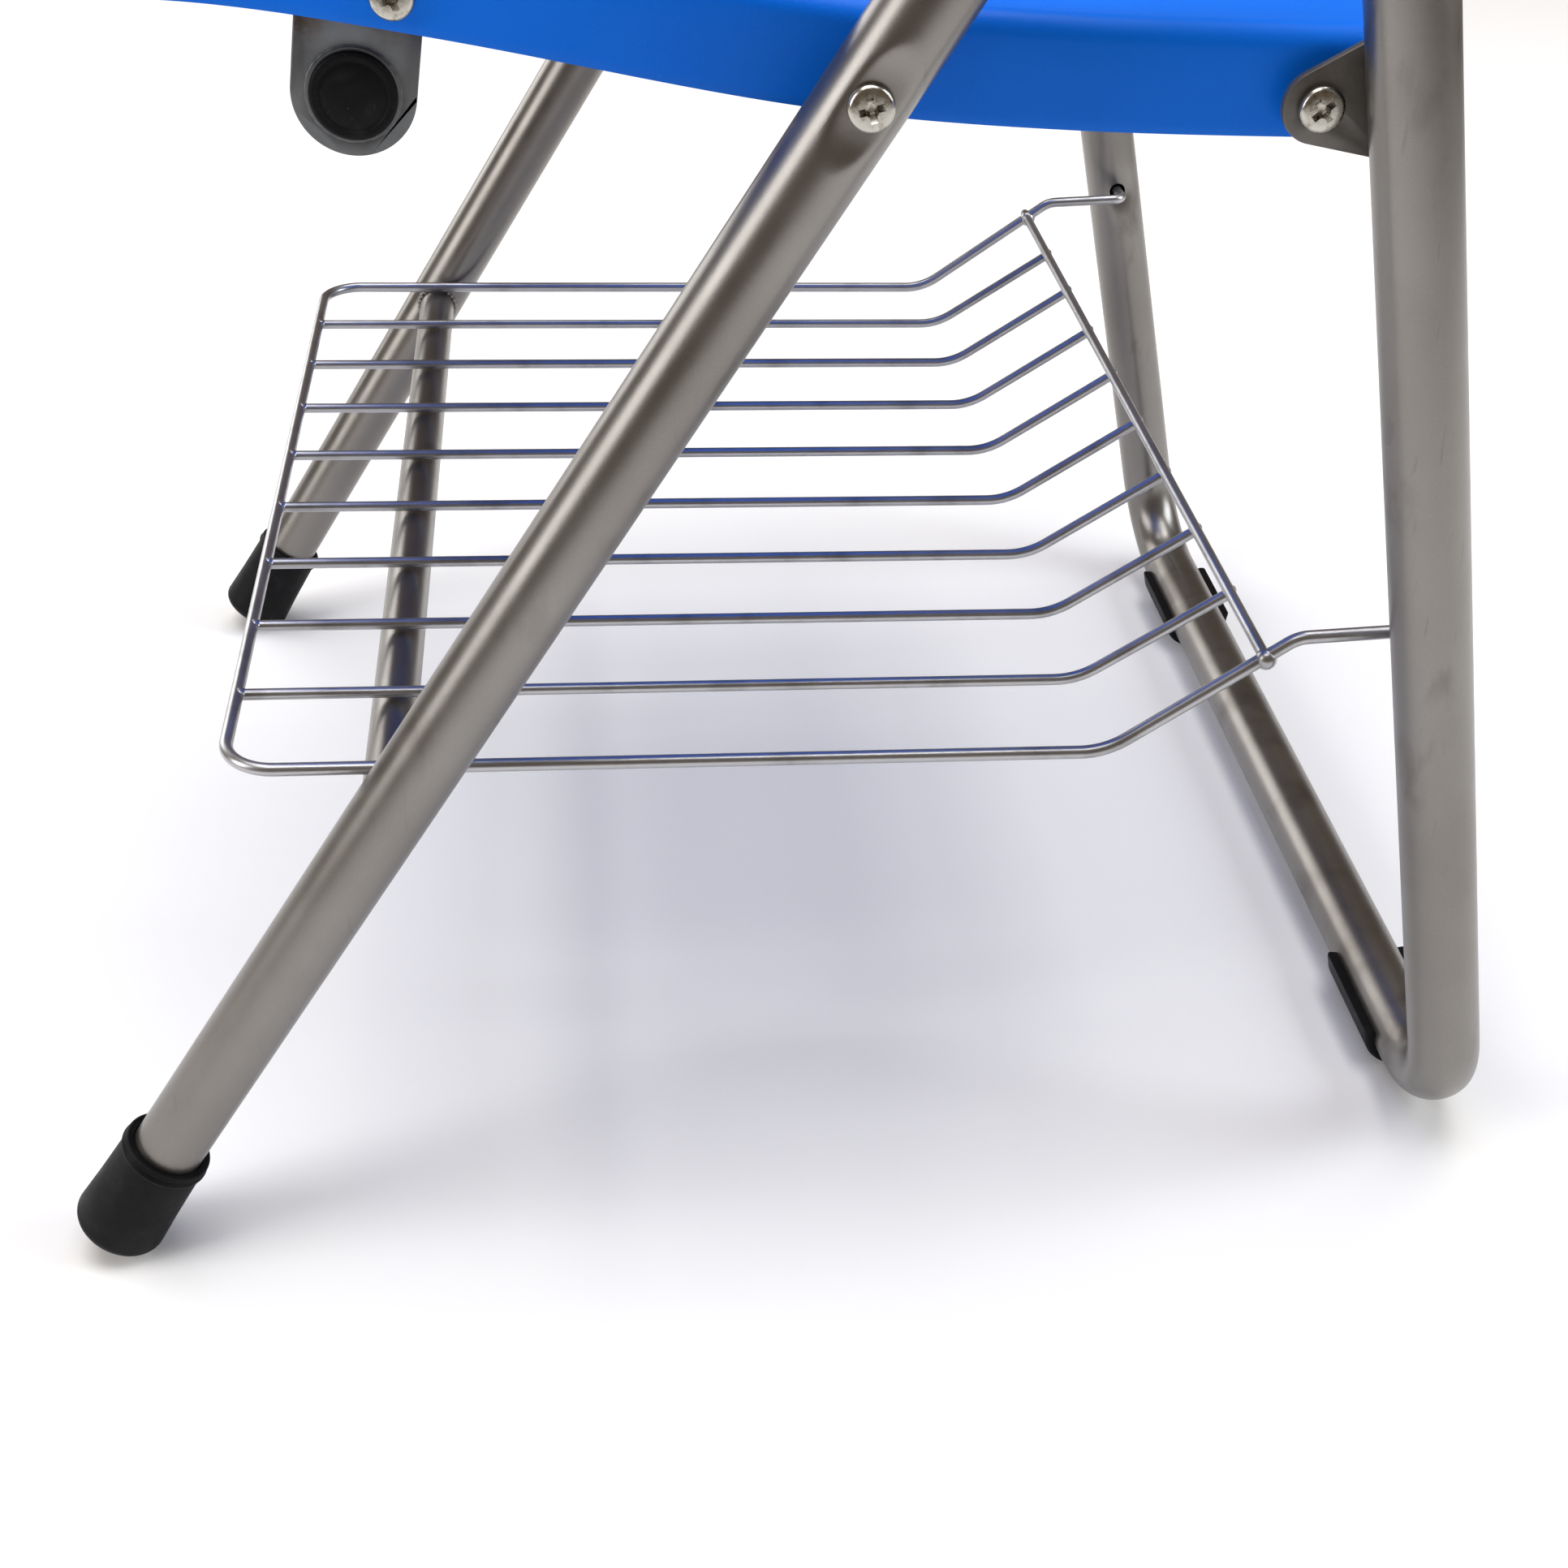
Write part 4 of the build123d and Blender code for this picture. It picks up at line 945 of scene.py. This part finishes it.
# ---- rack
def rack():
    """Wire book rack: a bent outer wire with hooked ends, a row of inner wires and a rear rod."""
    hook_in_hole, weld_r = 0.0050, 0.0036
    hook_bend_r, ramp_top_bend_r, ramp_bend_r, corner_r = 0.004, 0.012, 0.026, 0.017
    left_over, right_over = 0.0022, 0.0055  # how far the rod stands past the outer wire
    rise = radians(RACK_RISE)
    ramp_top = Vector((0, RACK_HOOK.y - HOOK_REACH, RACK_HOOK.z))
    run = (RACK_BEND.y - RACK_FRONT_Y) / cos(rise)
    front = RACK_BEND + Vector((0, -cos(rise), sin(rise))) * run
    up_ramp = (ramp_top - RACK_BEND).normalized()
    rod = RACK_BEND + up_ramp * ROD_UP_RAMP
    edge = Vector((RACK_HALF, 0, 0))
    hook_in = Vector((REAR_X - TUBE_R + hook_in_hole, 0, 0))
    points = both_sides([RACK_HOOK + hook_in, RACK_HOOK + edge, ramp_top + edge, RACK_BEND + edge,
                         front + edge])
    bends = [0, hook_bend_r, ramp_top_bend_r, ramp_bend_r, corner_r]
    bends += reversed(bends)
    outer = bent_tube("rack_rim_wire", points, bends, OUTER_WIRE_R, WIRE, 24, 0.0012)
    settle(outer, "rack", "rack_wire", "rack_outer_wire")

    spacing = 2 * RACK_HALF / (RACK_WIRES - 1)
    below = Vector((0, up_ramp.z, -up_ramp.y)) * 0.0022
    path = path_mesh([rod + below + up_ramp * 0.0018, RACK_BEND, front - Vector((0, 0.0012, 0))],
                     [0, ramp_bend_r, 0])
    row = grow("rack_wires", WIRE_ROW, path,
               {"Radius": WIRE_R, "Sides": 20, "Ring Spacing": 0.0025, "Material": WIRE,
                "Wires": RACK_WIRES - 2, "First Wire": (spacing - RACK_HALF, 0, 0),
                "Wire Spacing": (spacing, 0, 0), "Front Weld": tuple(front + Vector((0, 0.0012, 0.0002))),
                "Rear Weld": tuple(rod + below * 0.5), "Weld Size": (0.0027, 0.0026, 0.0021)})
    settle(row, "rack", "rack_wire", "rack_inner_wires")

    left_end = rod + Vector((RACK_HALF + left_over, 0, 0))
    right_end = rod - Vector((RACK_HALF + right_over, 0, 0))
    bar = bent_tube("rack_cross_rod", [left_end, right_end], [0, 0], WIRE_R, WIRE, 24, 0.004)
    settle(bar, "rack", "rack_wire", "rack_rear_rod")
    for side, word in SIDES:
        spot = rod + Vector((side * RACK_HALF, 0.0004, -0.0006))
        profile = arc((0, 0), weld_r, -90, 90, 10)
        profile[0], profile[-1] = (0, -weld_r), (0, weld_r)
        bead = turned_piece(f"rod_weld_{word}", profile, spot, (0.4, 0.6, 0.5), WIRE, 24)
        settle(bead, "rack", "rack_wire")


# ---- the chair
front_frame()
crossbar()
rear_frame()
rack()
seat()
seat_ribs()
back()
cross_tube()
fasteners()
for side, word in SIDES:
    ferrule(side, word)
    glide(word)
    leg_plug(side, word)
    eased(f"guide_plate_{word}", "front_frame", "frame_paint", FRAME_PAINT)
    eased(f"hinge_plate_{word}", "rear_frame", "dark_steel", HINGE_STEEL, 0.0005)
    eased(f"cross_tube_lug_{word}", "seat", "dark_steel", LUG_STEEL, 0.0005)
    eased(f"seat_rail_{word}", "seat", "dark_steel", RAIL_STEEL, 0.0003)
eased("seat_rear_tie", "seat", "dark_steel", RAIL_STEEL)
for node, body in (("seat_pivot_nuts", "front_frame"), ("back_screws", "front_frame"),
                   ("rear_pivot_nuts", "seat"), ("rear_pivot_bushes", "seat"),
                   ("guide_pin_nuts", "rear_frame"), ("guide_pin_washers", "rear_frame")):
    eased(node, body, "zinc_fastener", ZINC, 0.0003)
eased("seat_pivot_washers", "front_frame", "black_plastic", BLACK)

# ---- floor, light and camera
FLOOR_RADIUS, FLOOR_SIDES = 1.75, 96
floor_turns = [2 * pi * i / FLOOR_SIDES for i in range(FLOOR_SIDES)]
floor_rim = [(FLOOR_RADIUS * cos(turn), FLOOR_RADIUS * sin(turn), 0) for turn in floor_turns]
floor_mesh = bpy.data.meshes.new("floor")
floor_mesh.from_pydata(floor_rim, [], [tuple(range(FLOOR_SIDES))])
floor = link("floor", floor_mesh)
paper = Finish("floor paper", (0.93, 0.93, 0.93), 0.0, 0.9)
floor_mesh.materials.append(paper.material)


def softbox(name, place, aim, width, height, power, colour):
    """A large area light that points at a place on the chair."""
    lamp = bpy.data.lights.new(name, "AREA")
    lamp.shape, lamp.size, lamp.size_y = "RECTANGLE", width, height
    lamp.energy, lamp.color = power, colour
    light = bpy.data.objects.new(name, lamp)
    bpy.context.scene.collection.objects.link(light)
    light.location = place
    light.rotation_euler = (Vector(aim) - Vector(place)).to_track_quat("-Z", "Y").to_euler()


COOL, NEUTRAL = (0.90, 0.95, 1.0), (1.0, 1.0, 1.0)
softbox("front_window", (0.7, -2.3, 1.3), (0, 0, 0.3), 1.2, 1.8, 30, NEUTRAL)
softbox("rear_window", (0.5, 2.4, 1.5), (0, 0, 0.3), 1.3, 1.8, 44, COOL)
softbox("ceiling", (0, 0, 3.0), (0, 0, 0), 2.4, 2.4, 84, NEUTRAL)
softbox("far_wall", (-2.2, -1.8, 1.0), (0, 0, 0.3), 1.6, 1.6, 26, NEUTRAL)

# the backdrop is white to look at, and a dim warm room to everything that it lights
BACKDROP, ROOM = (0.97, 0.97, 0.97, 1), (0.15, 0.112, 0.080, 1)
world = bpy.data.worlds.new("studio")
bpy.context.scene.world = world
world.use_nodes = True
sky = world.node_tree.nodes["Background"]
backdrop = add_node(world.node_tree, "ShaderNodeBackground", Color=BACKDROP, Strength=1.0)
seen = add_node(world.node_tree, "ShaderNodeLightPath")
choose = world.node_tree.nodes.new("ShaderNodeMixShader")
sky.inputs["Color"].default_value = ROOM
sky.inputs["Strength"].default_value = 1.0
for source, target in ((seen.outputs["Is Camera Ray"], choose.inputs[0]),
                       (sky.outputs[0], choose.inputs[1]),
                       (backdrop.outputs[0], choose.inputs[2]),
                       (choose.outputs[0], world.node_tree.nodes["World Output"].inputs[0])):
    world.node_tree.links.new(source, target)
bpy.context.scene.view_settings.view_transform = "Standard"

CAMERA_AT = Vector((0.78076, -0.04664, 0.56908))
YAW, PITCH, ROLL = 0.08153, 0.60678, 0.022488  # radians
lens = bpy.data.cameras.new("camera")
lens.lens, lens.sensor_width = 48.6, 36.0
camera = bpy.data.objects.new("camera", lens)
bpy.context.scene.collection.objects.link(camera)
ahead = Vector((-cos(YAW) * cos(PITCH), sin(YAW) * cos(PITCH), -sin(PITCH)))
level = ahead.cross(Vector((0, 0, 1))).normalized()
down = ahead.cross(level)
right = level * cos(ROLL) + down * sin(ROLL)
below_view = down * cos(ROLL) - level * sin(ROLL)
facing = Matrix((right, -below_view, -ahead)).transposed().to_4x4()
camera.matrix_world = Matrix.Translation(CAMERA_AT) @ facing
bpy.context.scene.camera = camera
